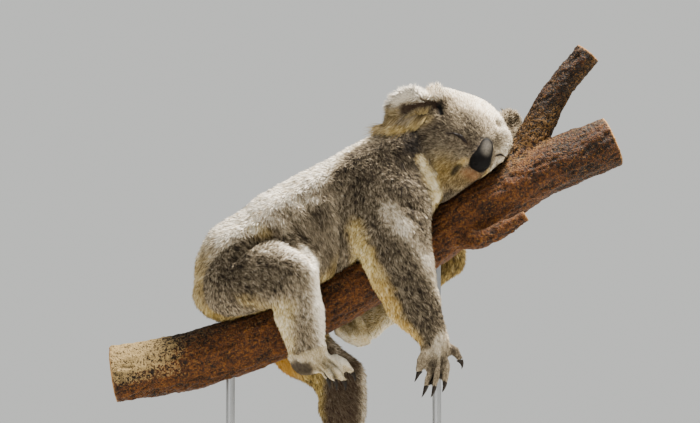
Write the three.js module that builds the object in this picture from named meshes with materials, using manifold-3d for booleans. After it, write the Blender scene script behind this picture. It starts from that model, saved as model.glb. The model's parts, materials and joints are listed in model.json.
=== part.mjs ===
// A koala asleep on a sloping branch, life size, held by a plain display stand.
// Millimetres, +Z up. The animal's head is towards +X and its right side faces -Y.
// The origin is the middle of the underside of the stand's base.
import * as THREE from 'three';
import { mergeVertices } from 'three/addons/utils/BufferGeometryUtils.js';
import Module from 'manifold-3d';

const wasm = await Module();
wasm.setup();

// ---------------------------------------------------------------- driving dimensions
const GAP = 0.35; // left between pieces that touch
const SEAM = 0.6; // width of the thin cuts that part the body
const FAR = 1500; // larger than anything here, for half-spaces

const TRUNK_STEP = 28; // cell sizes of the faceted surfaces
const LIMB_STEP = 20;
const HEAD_STEP = 15;
const EAR_STEP = 12;
const PALM_STEP = 14;
const NOSE_STEP = 10;
const TRIM = 0.4; // how far the facets may be moved to do without the smallest of them

// Widths over which one rounded form runs into the next.
const CHAIN_BLEND = 10;
const LIMB_BLEND = 16;
const BELLY_BLEND = 30;
const NECK_BLEND = 24;
const HEAD_BLEND = 22;
const SOLE_BLEND = 14;
const LIMB_PAIR_BLEND = 4;

// The trunk lies along the branch: stations from the rump to the nape, each x, y, z and radius
// across the back, and how much wider than deep the body is.
const TRUNK_WIDTH = 1.2;
const RUMP = [-163, -5, 340, 45];
const PELVIS = [-128, 0, 378, 77];
const LOIN = [-59, 0, 436, 70];
const MIDDLE = [0, 0, 468, 70];
const CHEST = [64, 0, 504, 68];
const WITHERS = [112, -5, 532, 62];
const NECK_WIDTH = 1.06;
const NECK = [160, -10, 562, 52];
const BELLY_REAR = [-62, 0, 388, 65];
const BELLY_FRONT = [76, 0, 466, 58];
const THROAT = [184, -34, 521, 33];

// The head: its centre, the way the sleeping face looks, and the way its left side points.
const HEAD_CENTRE = [224, -25, 586];
const FACE_DIRECTION = [0.41, -0.89, -0.17];
const LEFT_DIRECTION = [0.86, 0.4, -0.33];

const FACE_MIDDLE = 6; // how far to the left of that centre the face's middle line is
const EAR_ROOTS = [[-24, -52, 40, 23], [-22, 38, 30, 20]];
// The jaw and the far cheek are pressed against the branch: a point of each flat, and the way
// into the branch.
const JAW_RESTS = [[[216, 0, 501], [0.5, 0, -0.87]], [[270, 0, 537], [0.74, 0, -0.67]]];
const NOSE_HIGH = [59, FACE_MIDDLE, -10, 15]; // forward, left, up of the head's centre, and radius
const NOSE_LOW = [62, FACE_MIDDLE, -32, 16];
const NOSE_REACH = 48;
const EAR_REACH = 56;
const EYE_RADIUS = 10.5;
const EYE_SIDES = 8;
const EYE_RINGS = 5;
const EYE_PLACE = [39, 43, -10];

// Limbs: stations from the trunk to the wrist or ankle, and the thickness of the limb across
// the body as a part of its width.
const RIGHT_ARM_FLAT = 0.62;
const RIGHT_ARM = [[109, -66, 473, 62], [108, -80, 411, 58], [120, -84, 373, 53],
  [138, -84, 320, 44], [163, -80, 277, 28], [175, -78, 252, 21]];
const RIGHT_PALM_FLAT = 0.66;
const RIGHT_PALM = [175, -78, 240, 21];
const LEFT_ARM_FLAT = 0.8;
const LEFT_ARM = [[160, 56, 495, 46], [196, 66, 400, 33], [121, 64, 335, 32], [56, 58, 284, 29]];
const LEFT_PALM_FLAT = 0.78;
const LEFT_PALM = [30, 58, 285, 19.5];
const RIGHT_LEG_FLAT = 0.8;
const RIGHT_LEG = [[-136, -56, 352, 52], [-50, -92, 363, 40], [-38, -82, 300, 38],
  [-28, -74, 246, 31]];
const RIGHT_HEEL = [-30, -66, 226, 20];
const RIGHT_SOLE_FLAT = 0.85;
const RIGHT_SOLE = [-2, -74, 226, 15];
const LEFT_LEG_FLAT = 0.82;
const LEFT_LEG = [[-104, 52, 302, 50], [-35, 59, 249, 46], [27, 64, 204, 39], [29, 60, 153, 39], [34, 54, 108, 27]];
const LEFT_HEEL = [32, 48, 84, 19];
const LEFT_SOLE = [74, 42, 68, 16];

// Fingers and toes: x, y, z and radius of the root, the middle joint and the end.
const RIGHT_FINGERS = {
  thumb: [[191, -73, 251, 9], [205, -71, 243, 8.5], [213, -72, 230, 6]],
  finger_2: [[188, -79, 240, 8], [190, -82, 214, 7.5], [188, -84, 194, 5.5]],
  finger_3: [[179, -84, 238, 8], [175, -89, 208, 7], [171, -91, 186, 5]],
  finger_4: [[170, -81, 238, 8], [163, -83, 208, 7], [158, -84, 187, 5]],
  finger_5: [[160, -75, 244, 9], [151, -73, 228, 8], [147, -74, 211, 5.5]],
};
const LEFT_FINGERS = {
  thumb: [[40, 70, 290, 7.5], [38, 76, 300, 7], [34, 77, 310, 5]],
  finger_2: [[40, 58, 296, 7.5], [38, 54, 312, 7], [35, 52, 327, 5]],
  finger_3: [[31, 58, 296, 7.5], [26, 54, 312, 7], [22, 52, 328, 5]],
  finger_4: [[24, 58, 292, 7.5], [15, 55, 306, 7], [10, 53, 320, 5]],
  finger_5: [[18, 59, 288, 7.5], [10, 58, 298, 7], [3, 55, 310, 5]],
};
const RIGHT_TOES = {
  toe_1: [[-26, -60, 228, 9.5], [-34, -57, 220, 9.5], [-38, -56, 212, 7]],
  toe_2: [[-12, -75, 228, 7.5], [0, -80, 211, 7.5], [6, -80, 199, 5]],
  toe_3: [[-4, -79, 229, 7.5], [11, -86, 210, 7.5], [17, -86, 197, 5]],
  toe_4: [[5, -78, 233, 8.5], [25, -82, 212, 8], [31, -83, 197, 5.5]],
  toe_5: [[12, -70, 235, 8.5], [34, -73, 223, 8], [44, -73, 210, 5.5]],
};
const LEFT_TOES = {
  toe_1: [[52, 28, 74, 9], [58, 14, 68, 9], [66, 6, 64, 7]],
  toe_2: [[84, 30, 66, 7.5], [102, 22, 62, 7.5], [112, 20, 57, 5]],
  toe_3: [[88, 38, 65, 7.5], [108, 34, 61, 7.5], [119, 33, 55, 5]],
  toe_4: [[88, 48, 66, 8.5], [110, 48, 61, 8], [122, 48, 55, 5.5]],
  toe_5: [[80, 56, 68, 8.5], [100, 62, 62, 8], [111, 65, 57, 5.5]],
};
const DIGIT_SIDES = 6;
const DIGIT_STEPS = 2;
const CLAW_SIDES = 4;
const CLAW_STEPS = 3;
const CLAW_LENGTH = { hand: 14, foot: 13 };
const CLAW_RADIUS = 3.2;
const CLAW_TIP = 0.5; // radius of a claw's blunt end
const CLAW_DROOP = 0.6; // how far a claw hooks down, as a part of its length

// The branch: stations x, z and radius in the plane y = 0, with a side limb and a sawn stub.
const BRANCH = [[-337, 209, 46], [-243, 223, 47], [-151, 248, 47], [-79, 275, 44], [-40, 296, 43.5],
  [24, 332, 42.5], [88, 368, 42], [184, 431, 42], [270, 489, 45], [352, 536, 42.5], [422, 566, 41],
  [462, 583, 40.5]];
const FORK = [[292, 10, 520, 34], [324, 12, 570, 28], [360, 12, 642, 24.5], [399, 12, 697, 23.5],
  [424, 12, 727, 23]];
const STUB = [[205, -10, 430, 20], [245, -36, 421, 18], [285, -48, 438, 14.5], [318, -52, 458, 11.5]];
const LIMB_SIDES = 14; // also the number of steps along the limb
const FORK_SIDES = 10;
const STUB_SIDES = 8;
const TWIG_STEPS = 5;

// The display stand.
const BASE = { length: 480, depth: 240, height: 18, bevel: 3 };
const ROD_RADIUS = 7;
const ROD_SIDES = 14;
const ROD_SINK = 9; // depth of the rods' sockets in the base
const REAR_ROD = { x: -150, y: 0, top: 225 };
const FRONT_ROD = { x: 178, y: 0, top: 400 };

const COLOURS = {
  coat: 0x8e857a, ear: 0xd8cebf, nose: 0x17130f, lid: 0x6b6052,
  claw: 0x1a1512, bark: 0x4e2e16, base: 0xd9d6cf, rod: 0x9a9ca0,
};

// Grids for the trunk and the head, and the flat cuts from the rump forwards: a point and the
// way ahead.
const TRUNK_LOW = [-260, -150, 240];
const TRUNK_HIGH = [262, 150, 680];
const HEAD_LOW = [100, -130, 430];
const HEAD_HIGH = [322, 80, 690];
const TRUNK_CUTS = {
  pelvis: [[-82, 0, 410], [0.88, 0, 0.48]],
  abdomen: [[14, 0, 475], [0.88, 0, 0.48]],
  chest: [[118, 0, 535], [0.9, 0, 0.44]],
  neck: [[165, -15, 546], [0.928, 0, 0.371]],
};

// ---------------------------------------------------------------- distance fields
const clamp01 = (t) => Math.min(1, Math.max(0, t));

// Smallest of two distances, rounded into each other over a width k.
function blend(a, b, k) {
  const h = Math.max(k - Math.abs(a - b), 0) / k;
  return Math.min(a, b) - h * h * k * 0.25;
}

// Largest of two distances, rounded in the same way.
const carve = (a, b, k) => -blend(-a, -b, k);

// Distance to a bar with a round end of its own radius at each station.
function bar(p, a, b) {
  const along = [b[0] - a[0], b[1] - a[1], b[2] - a[2]];
  const from = [p[0] - a[0], p[1] - a[1], p[2] - a[2]];
  const square = along[0] ** 2 + along[1] ** 2 + along[2] ** 2;
  const t = clamp01((from[0] * along[0] + from[1] * along[1] + from[2] * along[2]) / square);
  const off = Math.hypot(from[0] - t * along[0], from[1] - t * along[1], from[2] - t * along[2]);
  return off - a[3] - t * (b[3] - a[3]);
}

// A chain of such bars, thinner or wider across the body (along y) by the factor across.
function chain(p, stations, across) {
  const squeeze = ([x, y, z, r]) => [x, y / across, z, r];
  const q = squeeze(p);
  let d = Infinity;
  for (let i = 1; i < stations.length; i += 1) {
    const part = bar(q, squeeze(stations[i - 1]), squeeze(stations[i]));
    d = d === Infinity ? part : blend(d, part, CHAIN_BLEND);
  }
  return d * Math.min(1, across);
}

// Distance to an ellipsoid, near its surface.
function ellipsoid(p, centre, radii) {
  const q = p.map((v, i) => (v - centre[i]) / radii[i]);
  const g = p.map((v, i) => (v - centre[i]) / radii[i] ** 2);
  const length = Math.hypot(...q);
  return length < 1e-9 ? -Math.min(...radii) : (length * (length - 1)) / Math.hypot(...g);
}

// Places along three directions of a tilted part: forward, left and up from its centre.
function axesOf(centre, forward, left) {
  const f = new THREE.Vector3(...forward).normalize();
  const up = new THREE.Vector3().crossVectors(f, new THREE.Vector3(...left)).normalize();
  const l = new THREE.Vector3().crossVectors(up, f);
  const dot = (d, v) => d[0] * v.x + d[1] * v.y + d[2] * v.z;
  return {
    inside: (p) => {
      const d = [p[0] - centre[0], p[1] - centre[1], p[2] - centre[2]];
      return [dot(d, f), dot(d, l), dot(d, up)];
    },
    outside: ([a, b, c]) => [0, 1, 2].map((i) => centre[i]
      + a * f.getComponent(i) + b * l.getComponent(i) + c * up.getComponent(i)),
    matrix: new THREE.Matrix4().makeBasis(f, l, up).setPosition(...centre),
  };
}

// ---------------------------------------------------------------- solids
function solid(geometry) {
  const bare = geometry.index ? geometry : mergeVertices(geometry);
  bare.deleteAttribute('normal');
  bare.deleteAttribute('uv');
  const merged = mergeVertices(bare, 1e-4);
  return new wasm.Manifold(new wasm.Mesh({
    numProp: 3,
    vertProperties: new Float32Array(merged.attributes.position.array),
    triVerts: new Uint32Array(merged.index.array),
  }));
}

// Where the inside touches itself only across the diagonal of a cell's face, a surface would
// share one edge between four faces. Such a face's outer corner is brought inside.
function fillPinches(value, count, key, depth) {
  const steps = [1, 1, 1].map((one, i) => key(...[0, 0, 0].map((v, j) => (i === j ? one : v))));
  let filled = true;
  while (filled) {
    filled = false;
    for (let axis = 0; axis < 3; axis += 1) {
      const [du, dv] = [steps[(axis + 1) % 3], steps[(axis + 2) % 3]];
      for (let k = 0; k < count[2] - 1; k += 1) {
        for (let j = 0; j < count[1] - 1; j += 1) {
          for (let i = 0; i < count[0] - 1; i += 1) {
            const at = key(i, j, k);
            const corners = [at, at + du, at + du + dv, at + dv];
            const signs = corners.map((c) => value[c] < 0);
            if (signs[0] === signs[2] && signs[1] === signs[3] && signs[0] !== signs[1]) {
              value[corners[signs[0] ? 1 : 0]] = depth;
              filled = true;
            }
          }
        }
      }
    }
  }
}

// Distance between two of a list's points.
const span = (points, m, n) => Math.hypot(...[0, 1, 2].map((c) => points[m * 3 + c] - points[n * 3 + c]));

// The closed surface where a field is zero, in quads round the cells of a grid. Each vertex
// is moved on to the surface along the field's slope, and then outwards by grow.
function surface(shape, low, high, step, grow = 0) {
  const count = low.map((v, i) => Math.ceil((high[i] - v) / step) + 1);
  const field = (p) => Math.max(shape(p), ...p.map((v, i) => Math.max(
    low[i] + step / 2 - v, v - low[i] - (count[i] - 1.5) * step)));
  const key = (i, j, k) => (k * count[1] + j) * count[0] + i;
  const at = (i, j, k) => [low[0] + i * step, low[1] + j * step, low[2] + k * step];
  const value = new Float64Array(count[0] * count[1] * count[2]);
  for (let k = 0; k < count[2]; k += 1) {
    for (let j = 0; j < count[1]; j += 1) {
      for (let i = 0; i < count[0]; i += 1) value[key(i, j, k)] = field(at(i, j, k));
    }
  }
  fillPinches(value, count, key, -step / 100);
  const slope = (p) => {
    const e = 0.5;
    const g = [0, 1, 2].map((a) => {
      const q = p.slice();
      q[a] += e;
      const r = p.slice();
      r[a] -= e;
      return (field(q) - field(r)) / (2 * e);
    });
    const size = Math.hypot(...g) || 1;
    return { way: g.map((v) => v / size), size };
  };
  const vertexOf = new Map();
  const points = [];
  for (let k = 0; k < count[2] - 1; k += 1) {
    for (let j = 0; j < count[1] - 1; j += 1) {
      for (let i = 0; i < count[0] - 1; i += 1) {
        const sum = [0, 0, 0];
        let crossings = 0;
        for (let axis = 0; axis < 3; axis += 1) {
          for (let corner = 0; corner < 4; corner += 1) {
            const start = [i, j, k];
            start[(axis + 1) % 3] += corner & 1;
            start[(axis + 2) % 3] += corner >> 1;
            const end = start.slice();
            end[axis] += 1;
            const a = value[key(...start)];
            const b = value[key(...end)];
            if (a < 0 !== b < 0) {
              const p = at(...start);
              p[axis] += (step * a) / (a - b);
              for (let c = 0; c < 3; c += 1) sum[c] += p[c];
              crossings += 1;
            }
          }
        }
        if (crossings) {
          let p = sum.map((v) => v / crossings);
          for (let turn = 0; turn < 3; turn += 1) {
            const { way, size } = slope(p);
            const move = Math.max(-step / 2, Math.min(step / 2, field(p) / size));
            p = p.map((v, c) => v - way[c] * move * 0.8);
          }
          const { way } = slope(p);
          vertexOf.set(key(i, j, k), points.length / 3);
          points.push(...p.map((v, c) => v + way[c] * grow));
        }
      }
    }
  }
  const faces = [];
  for (let k = 0; k < count[2] - 1; k += 1) {
    for (let j = 0; j < count[1] - 1; j += 1) {
      for (let i = 0; i < count[0] - 1; i += 1) {
        for (let axis = 0; axis < 3; axis += 1) {
          const end = [i, j, k];
          const inner = end[(axis + 1) % 3] > 0 && end[(axis + 2) % 3] > 0;
          end[axis] += 1;
          const inside = value[key(i, j, k)] < 0;
          if (inner && inside !== value[key(...end)] < 0) {
            const ring = [[0, 0], [1, 0], [1, 1], [0, 1]].map(([u, v]) => {
              const cell = [i, j, k];
              cell[(axis + 1) % 3] -= u;
              cell[(axis + 2) % 3] -= v;
              return vertexOf.get(key(...cell));
            });
            const [a, b, c, d] = inside ? ring : ring.reverse();
            if (span(points, a, c) < span(points, b, d)) faces.push(a, b, c, a, c, d);
            else faces.push(a, b, d, b, c, d);
          }
        }
      }
    }
  }
  const geometry = new THREE.BufferGeometry();
  geometry.setAttribute('position', new THREE.Float32BufferAttribute(points, 3));
  geometry.setIndex(faces);
  return solid(geometry);
}

// A round rod of changing radius through its stations, closed at both ends.
function rod(stations, sides, steps, shape = () => 1) {
  const curve = new THREE.CatmullRomCurve3(stations.map(([x, y, z]) => new THREE.Vector3(x, y, z)));
  const { normals, binormals } = curve.computeFrenetFrames(steps, false);
  const points = [];
  const faces = [];
  const last = stations.length - 1;
  for (let s = 0; s <= steps; s += 1) {
    const t = curve.getUtoTmapping(s / steps) * last;
    const n = Math.min(Math.floor(t), last - 1);
    const radius = stations[n][3] + (t - n) * (stations[n + 1][3] - stations[n][3]);
    const centre = curve.getPointAt(s / steps);
    for (let a = 0; a < sides; a += 1) {
      const angle = (2 * Math.PI * a) / sides;
      const r = radius * shape(s / steps, angle);
      const p = centre.clone().addScaledVector(normals[s], r * Math.cos(angle))
        .addScaledVector(binormals[s], r * Math.sin(angle));
      points.push(p.x, p.y, p.z);
      if (s > 0) {
        const here = s * sides;
        const back = here - sides;
        const next = (a + 1) % sides;
        faces.push(back + a, back + next, here + a, here + a, back + next, here + next);
      }
    }
  }
  for (const [s, flip] of [[0, true], [steps, false]]) {
    const centre = curve.getPointAt(s / steps);
    const middle = points.length / 3;
    points.push(centre.x, centre.y, centre.z);
    for (let a = 0; a < sides; a += 1) {
      const next = (a + 1) % sides;
      if (flip) faces.push(middle, s * sides + next, s * sides + a);
      else faces.push(middle, s * sides + a, s * sides + next);
    }
  }
  const geometry = new THREE.BufferGeometry();
  geometry.setAttribute('position', new THREE.Float32BufferAttribute(points, 3));
  geometry.setIndex(faces);
  return solid(geometry);
}

// All space on one side of a plane, as a large box whose face lies in that plane.
function half(point, way, inset = 0) {
  const normal = new THREE.Vector3(...way).normalize();
  const turn = new THREE.Quaternion().setFromUnitVectors(new THREE.Vector3(0, 0, 1), normal);
  const box = new THREE.BoxGeometry(2 * FAR, 2 * FAR, FAR).applyQuaternion(turn);
  const centre = new THREE.Vector3(...point).addScaledVector(normal, FAR / 2 + inset);
  return solid(box.translate(centre.x, centre.y, centre.z));
}

function block(low, high, grow = 0) {
  const size = high.map((v, i) => v - low[i] + 2 * grow);
  const middle = high.map((v, i) => (v + low[i]) / 2);
  return solid(new THREE.BoxGeometry(...size).translate(...middle));
}

// The largest of the bodies that a cut leaves.
function largest(shape) {
  const bodies = shape.decompose();
  return bodies.reduce((best, body) => (body.volume() > best.volume() ? body : best));
}

// ---------------------------------------------------------------- the animal's shape
const head = axesOf(HEAD_CENTRE, FACE_DIRECTION, LEFT_DIRECTION);

// Head in its own axes: skull, cheeks, brow, muzzle, chin and the ruff under the jaw.
function headField(p) {
  const q = head.inside(p);
  const mirrored = [q[0], Math.abs(q[1] - FACE_MIDDLE), q[2]];
  let d = ellipsoid(q, [-8, 3, 4], [56, 70, 62]);
  d = blend(d, bar(q, ...EAR_ROOTS), 26);
  d = blend(d, ellipsoid(q, [16, 44, 4], [30, 29, 28]), 12); // the temple that leans on the fork
  d = blend(d, ellipsoid(mirrored, [10, 30, -24], [40, 36, 36]), 18);
  d = blend(d, bar(mirrored, [34, 0, 14, 30], [52, 0, -16, 20]), 18);
  d = blend(d, ellipsoid(mirrored, [46, 0, -36], [24, 33, 24]), 14);
  d = blend(d, ellipsoid(mirrored, [38, 0, -54], [22, 24, 16]), 12);
  d = blend(d, bar(q, [4, 6, -52, 28], [-8, 6, -80, 23]), 20);
  for (const [at, way] of JAW_RESTS) d = carve(d, (p[0] - at[0]) * way[0] + (p[2] - at[2]) * way[2], 6);
  return carve(d, -ellipsoid(mirrored, [60, 43, -8], [14, 17, 11]), 8);
}

function trunkField(p) {
  let d = chain(p, [RUMP, PELVIS, LOIN, MIDDLE, CHEST, WITHERS], TRUNK_WIDTH);
  d = blend(d, chain(p, [BELLY_REAR, BELLY_FRONT], TRUNK_WIDTH), BELLY_BLEND);
  d = blend(d, chain(p, [WITHERS, NECK, [...HEAD_CENTRE, 52]], NECK_WIDTH), NECK_BLEND);
  return blend(d, chain(p, [BELLY_FRONT, THROAT], 1), BELLY_BLEND);
}

// An ear in its own axes (the way it opens, away from the head, up): a disc with a rolled rim,
// hollow in front, with long hair hanging from its lower edge.
function earField({ axes, size, outward }) {
  return (p) => {
    const q = axes.inside(p).map((v) => v / size);
    q[1] *= outward;
    const ring = Math.hypot(Math.hypot(q[1], q[2]) - 31, q[0] - 3) - 10;
    let d = blend(ellipsoid(q, [-2, 0, 0], [11, 38, 38]), ring, 6);
    d = blend(d, bar(q, [1, 6, -20, 16], [3, 40, -29, 9]), 12);
    d = carve(d, -ellipsoid(q, [17, 2, 8], [12, 25, 15]), 5);
    return d * size;
  };
}

function noseField(p) {
  const q = head.inside(p);
  const mirrored = [q[0], Math.abs(q[1] - FACE_MIDDLE), q[2]];
  const wings = ellipsoid(mirrored, [62, 8, -36], [13, 11, 13]);
  const front = ellipsoid(mirrored, [66, 0, -22], [14, 15, 22]);
  return blend(blend(bar(q, NOSE_HIGH, NOSE_LOW), wings, 8), front, 10);
}

const EARS = {
  right: { size: 1, outward: -1, axes: axesOf([136, -36, 622], [-0.12, -0.93, -0.34], [0.93, -0.1, -0.1]) },
  left: { size: 0.8, outward: 1, axes: axesOf([294, 28, 604], [0.7, -0.7, 0.1], [0.6, 0.6, 0.4]) },
};

const flesh = { // each limb with the trunk it grows from
  rightArm: (p) => blend(trunkField(p), chain(p, RIGHT_ARM, RIGHT_ARM_FLAT), LIMB_BLEND),
  leftArm: (p) => blend(trunkField(p), chain(p, LEFT_ARM, LEFT_ARM_FLAT), LIMB_BLEND),
  rightLeg: (p) => blend(trunkField(p), chain(p, RIGHT_LEG, RIGHT_LEG_FLAT), LIMB_BLEND),
  leftLeg: (p) => blend(trunkField(p), chain(p, LEFT_LEG, LEFT_LEG_FLAT), LIMB_BLEND),
};

const palms = {
  rightArm: (p) => chain(p, [RIGHT_ARM.at(-2), RIGHT_ARM.at(-1), RIGHT_PALM], RIGHT_PALM_FLAT),
  leftArm: (p) => chain(p, [LEFT_ARM.at(-2), LEFT_ARM.at(-1), LEFT_PALM], LEFT_PALM_FLAT),
  rightLeg: (p) => blend(chain(p, RIGHT_LEG.slice(-2), RIGHT_LEG_FLAT),
    chain(p, [RIGHT_HEEL, RIGHT_SOLE], RIGHT_SOLE_FLAT), SOLE_BLEND),
  leftLeg: (p) => blend(chain(p, LEFT_LEG.slice(-2), LEFT_LEG_FLAT),
    chain(p, [LEFT_HEEL, LEFT_SOLE], 1), SOLE_BLEND),
};

// ---------------------------------------------------------------- the branch and the stand
// The bark swells and dips a little along and round the branch.
const barkShape = (along, angle) => 1 + 0.03 * Math.sin(31 * along + 2 * angle)
  + 0.02 * Math.sin(17 * along - 3 * angle);

// Limb, fork and stub as one solid, made thicker by grow where flesh has to keep clear of it.
function branchSolid(grow) {
  const thicker = (stations) => stations.map(([x, y, z, r]) => [x, y, z, r + grow]);
  const limb = BRANCH.map(([x, z, r]) => [x, 0, z, r + grow]);
  return rod(limb, LIMB_SIDES, LIMB_SIDES, barkShape)
    .add(rod(thicker(FORK), FORK_SIDES, TWIG_STEPS, barkShape))
    .add(rod(thicker(STUB), STUB_SIDES, TWIG_STEPS));
}

function standBase() {
  const { length, depth, height, bevel } = BASE;
  const corner = new THREE.Shape();
  const x = length / 2 - bevel;
  const y = depth / 2 - bevel;
  corner.moveTo(-x, -y).lineTo(x, -y).lineTo(x, y).lineTo(-x, y).closePath();
  const plate = new THREE.ExtrudeGeometry(corner, {
    depth: height - 2 * bevel, bevelThickness: bevel, bevelSize: bevel, bevelSegments: 1, steps: 1,
  });
  return solid(plate.translate(0, 0, bevel));
}

function standRod({ x, y }, top, grow = 0) {
  const bottom = BASE.height - ROD_SINK - grow;
  const radius = ROD_RADIUS + grow;
  const cylinder = new THREE.CylinderGeometry(radius, radius, top - bottom, ROD_SIDES);
  return solid(cylinder.rotateX(Math.PI / 2).translate(x, y, (top + bottom) / 2));
}

// ---------------------------------------------------------------- putting it together
const model = new THREE.Group();

function add(name, shape, colour, roughness = 0.9, metalness = 0) {
  const { vertProperties, triVerts, numProp } = shape.simplify(TRIM).getMesh();
  const geometry = new THREE.BufferGeometry();
  const positions = new Float32Array((vertProperties.length / numProp) * 3);
  for (let v = 0; v < positions.length / 3; v += 1) {
    for (let c = 0; c < 3; c += 1) positions[v * 3 + c] = vertProperties[v * numProp + c];
  }
  geometry.setAttribute('position', new THREE.BufferAttribute(positions, 3));
  geometry.setIndex([...triVerts]);
  geometry.computeVertexNormals();
  const material = new THREE.MeshStandardMaterial({ color: colour, roughness, metalness });
  const mesh = new THREE.Mesh(geometry, material);
  mesh.name = name;
  model.add(mesh);
}

const branch = branchSolid(0);
const sleeve = branchSolid(2 * GAP);

// Limbs: the space that belongs to each, the cuts along it, and its hand or foot.
const LIMBS = {
  rightArm: {
    parts: ['upper_arm_right', 'forearm_right', 'hand_right'], kind: 'hand', side: 'right',
    root: [[110, -70, 475], [0, -0.87, -0.49]], boxes: [[[22, -170, 160], [225, -20, 562]]],
    middle: [[122, -84, 366], [0.2, 0, -0.98]], end: [[172, -78, 258], [0.4, 0.05, -0.92]],
    digits: RIGHT_FINGERS, hook: [-0.5, -0.5, -0.7],
  },
  leftArm: {
    parts: ['upper_arm_left', 'forearm_left', 'hand_left'], kind: 'hand', side: 'left',
    root: [[160, 60, 472], [0.1, 0.8, -0.6]],
    boxes: [[[84, -20, 320], [260, 140, 545]], [[-60, -20, 200], [260, 140, 321]]],
    middle: [[188, 66, 386], [-0.7, 0, -0.72]], end: [[60, 49, 292], [-0.86, -0.3, -0.4]],
    digits: LEFT_FINGERS, hook: [-0.1, -0.9, 0.2],
  },
  rightLeg: {
    parts: ['thigh_right', 'shank_right', 'foot_right'], kind: 'foot', side: 'right',
    root: [[-110, -68, 380], [0, -0.93, -0.37]], boxes: [[[-192, -170, 160], [60, -26, 450]]],
    middle: [[-56, -90, 356], [0.72, 0, -0.69]], end: [[-27, -74, 246], [0.3, 0, -0.95]],
    digits: RIGHT_TOES, hook: [-0.2, -0.2, -0.95],
  },
  leftLeg: {
    parts: ['thigh_left', 'shank_left', 'foot_left'], kind: 'foot', side: 'left',
    root: [[-76, 50, 290], [0.74, 0.25, -0.62]],
    boxes: [[[-150, 14, 20], [11, 140, 330]], [[10, 14, 20], [170, 140, 264]]],
    middle: [[28, 62, 190], [0.05, 0, -1]], end: [[34, 54, 108], [0.2, -0.1, -0.97]],
    digits: LEFT_TOES, hook: [0, 0, -1],
  },
};

// A claw: a hooked cone that starts just off a digit's flat end.
function clawSolid(stations, kind, way) {
  const [end, joint] = [stations.at(-1), stations.at(-2)];
  const out = new THREE.Vector3(end[0] - joint[0], end[1] - joint[1], end[2] - joint[2]).normalize();
  const hook = new THREE.Vector3(...way).normalize();
  const length = CLAW_LENGTH[kind];
  const points = [0, 1 / 3, 2 / 3, 1].map((t) => {
    const ahead = 2 * GAP + length * t * (1 - (CLAW_DROOP * t) / 2);
    const p = new THREE.Vector3(...end.slice(0, 3)).addScaledVector(out, ahead)
      .addScaledVector(hook, CLAW_DROOP * length * t * t);
    return [p.x, p.y, p.z, CLAW_RADIUS * (1 - t) + CLAW_TIP];
  });
  return rod(points, CLAW_SIDES, CLAW_STEPS);
}

const claims = []; // the spaces that the limbs take from the trunk
for (const [limb, spec] of Object.entries(LIMBS)) {
  const { boxes, root, middle, end, digits, kind, side } = spec;
  const margin = LIMB_STEP * 3;
  const low = boxes[0][0].map((v, i) => Math.min(...boxes.map((box) => box[0][i])) - margin);
  const high = boxes[0][1].map((v, i) => Math.max(...boxes.map((box) => box[1][i])) + margin);
  const space = (grow) => boxes.map((box) => block(...box, grow)).reduce((a, b) => a.add(b))
    .intersect(half(...root, -grow));
  claims.push(space(SEAM / 2));
  const whole = surface(flesh[limb], low, high, LIMB_STEP).intersect(space(-SEAM / 2)).subtract(sleeve);
  const upper = whole.subtract(half(...middle, -SEAM / 2));
  const lower = whole.intersect(half(...middle, SEAM / 2)).subtract(half(...end, -SEAM / 2));
  let tip = surface(palms[limb], low, high, PALM_STEP);
  for (const stations of Object.values(digits)) tip = tip.add(rod(stations, DIGIT_SIDES, DIGIT_STEPS));
  tip = tip.intersect(half(...end, SEAM / 2)).subtract(sleeve);
  [upper, lower, tip].forEach((shape, i) => add(spec.parts[i], largest(shape), COLOURS.coat));
  for (const [digit, stations] of Object.entries(digits)) {
    if (digit !== 'toe_1') { // the great toe has no claw
      add(`claw_${side}_${kind}_${digit}`, clawSolid(stations, kind, spec.hook), COLOURS.claw, 0.35);
    }
  }
}

// Ears, nose and closed eyes, and the room that the head and neck leave for them.
const room = [];
for (const [side, ear] of Object.entries(EARS)) {
  const centre = ear.axes.outside([0, 0, 0]);
  const reach = EAR_REACH * ear.size;
  const box = [centre.map((v) => v - reach), centre.map((v) => v + reach)];
  add(`ear_${side}`, largest(surface(earField(ear), ...box, EAR_STEP).subtract(sleeve)), COLOURS.ear);
  room.push(surface(earField(ear), ...box, EAR_STEP, SEAM));
}
const noseCentre = head.outside(NOSE_LOW);
const noseBox = [noseCentre.map((v) => v - NOSE_REACH), noseCentre.map((v) => v + NOSE_REACH)];
add('nose', surface(noseField, ...noseBox, NOSE_STEP), COLOURS.nose, 0.35);
room.push(surface(noseField, ...noseBox, NOSE_STEP, SEAM));
for (const [side, sign] of [['right', -1], ['left', 1]]) {
  const ball = (grow) => new THREE.SphereGeometry(EYE_RADIUS + grow, EYE_SIDES, EYE_RINGS)
    .translate(EYE_PLACE[0], FACE_MIDDLE + sign * EYE_PLACE[1], EYE_PLACE[2]).applyMatrix4(head.matrix);
  add(`eye_${side}`, solid(ball(0)), COLOURS.lid, 0.7);
  room.push(solid(ball(SEAM)));
}

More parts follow.
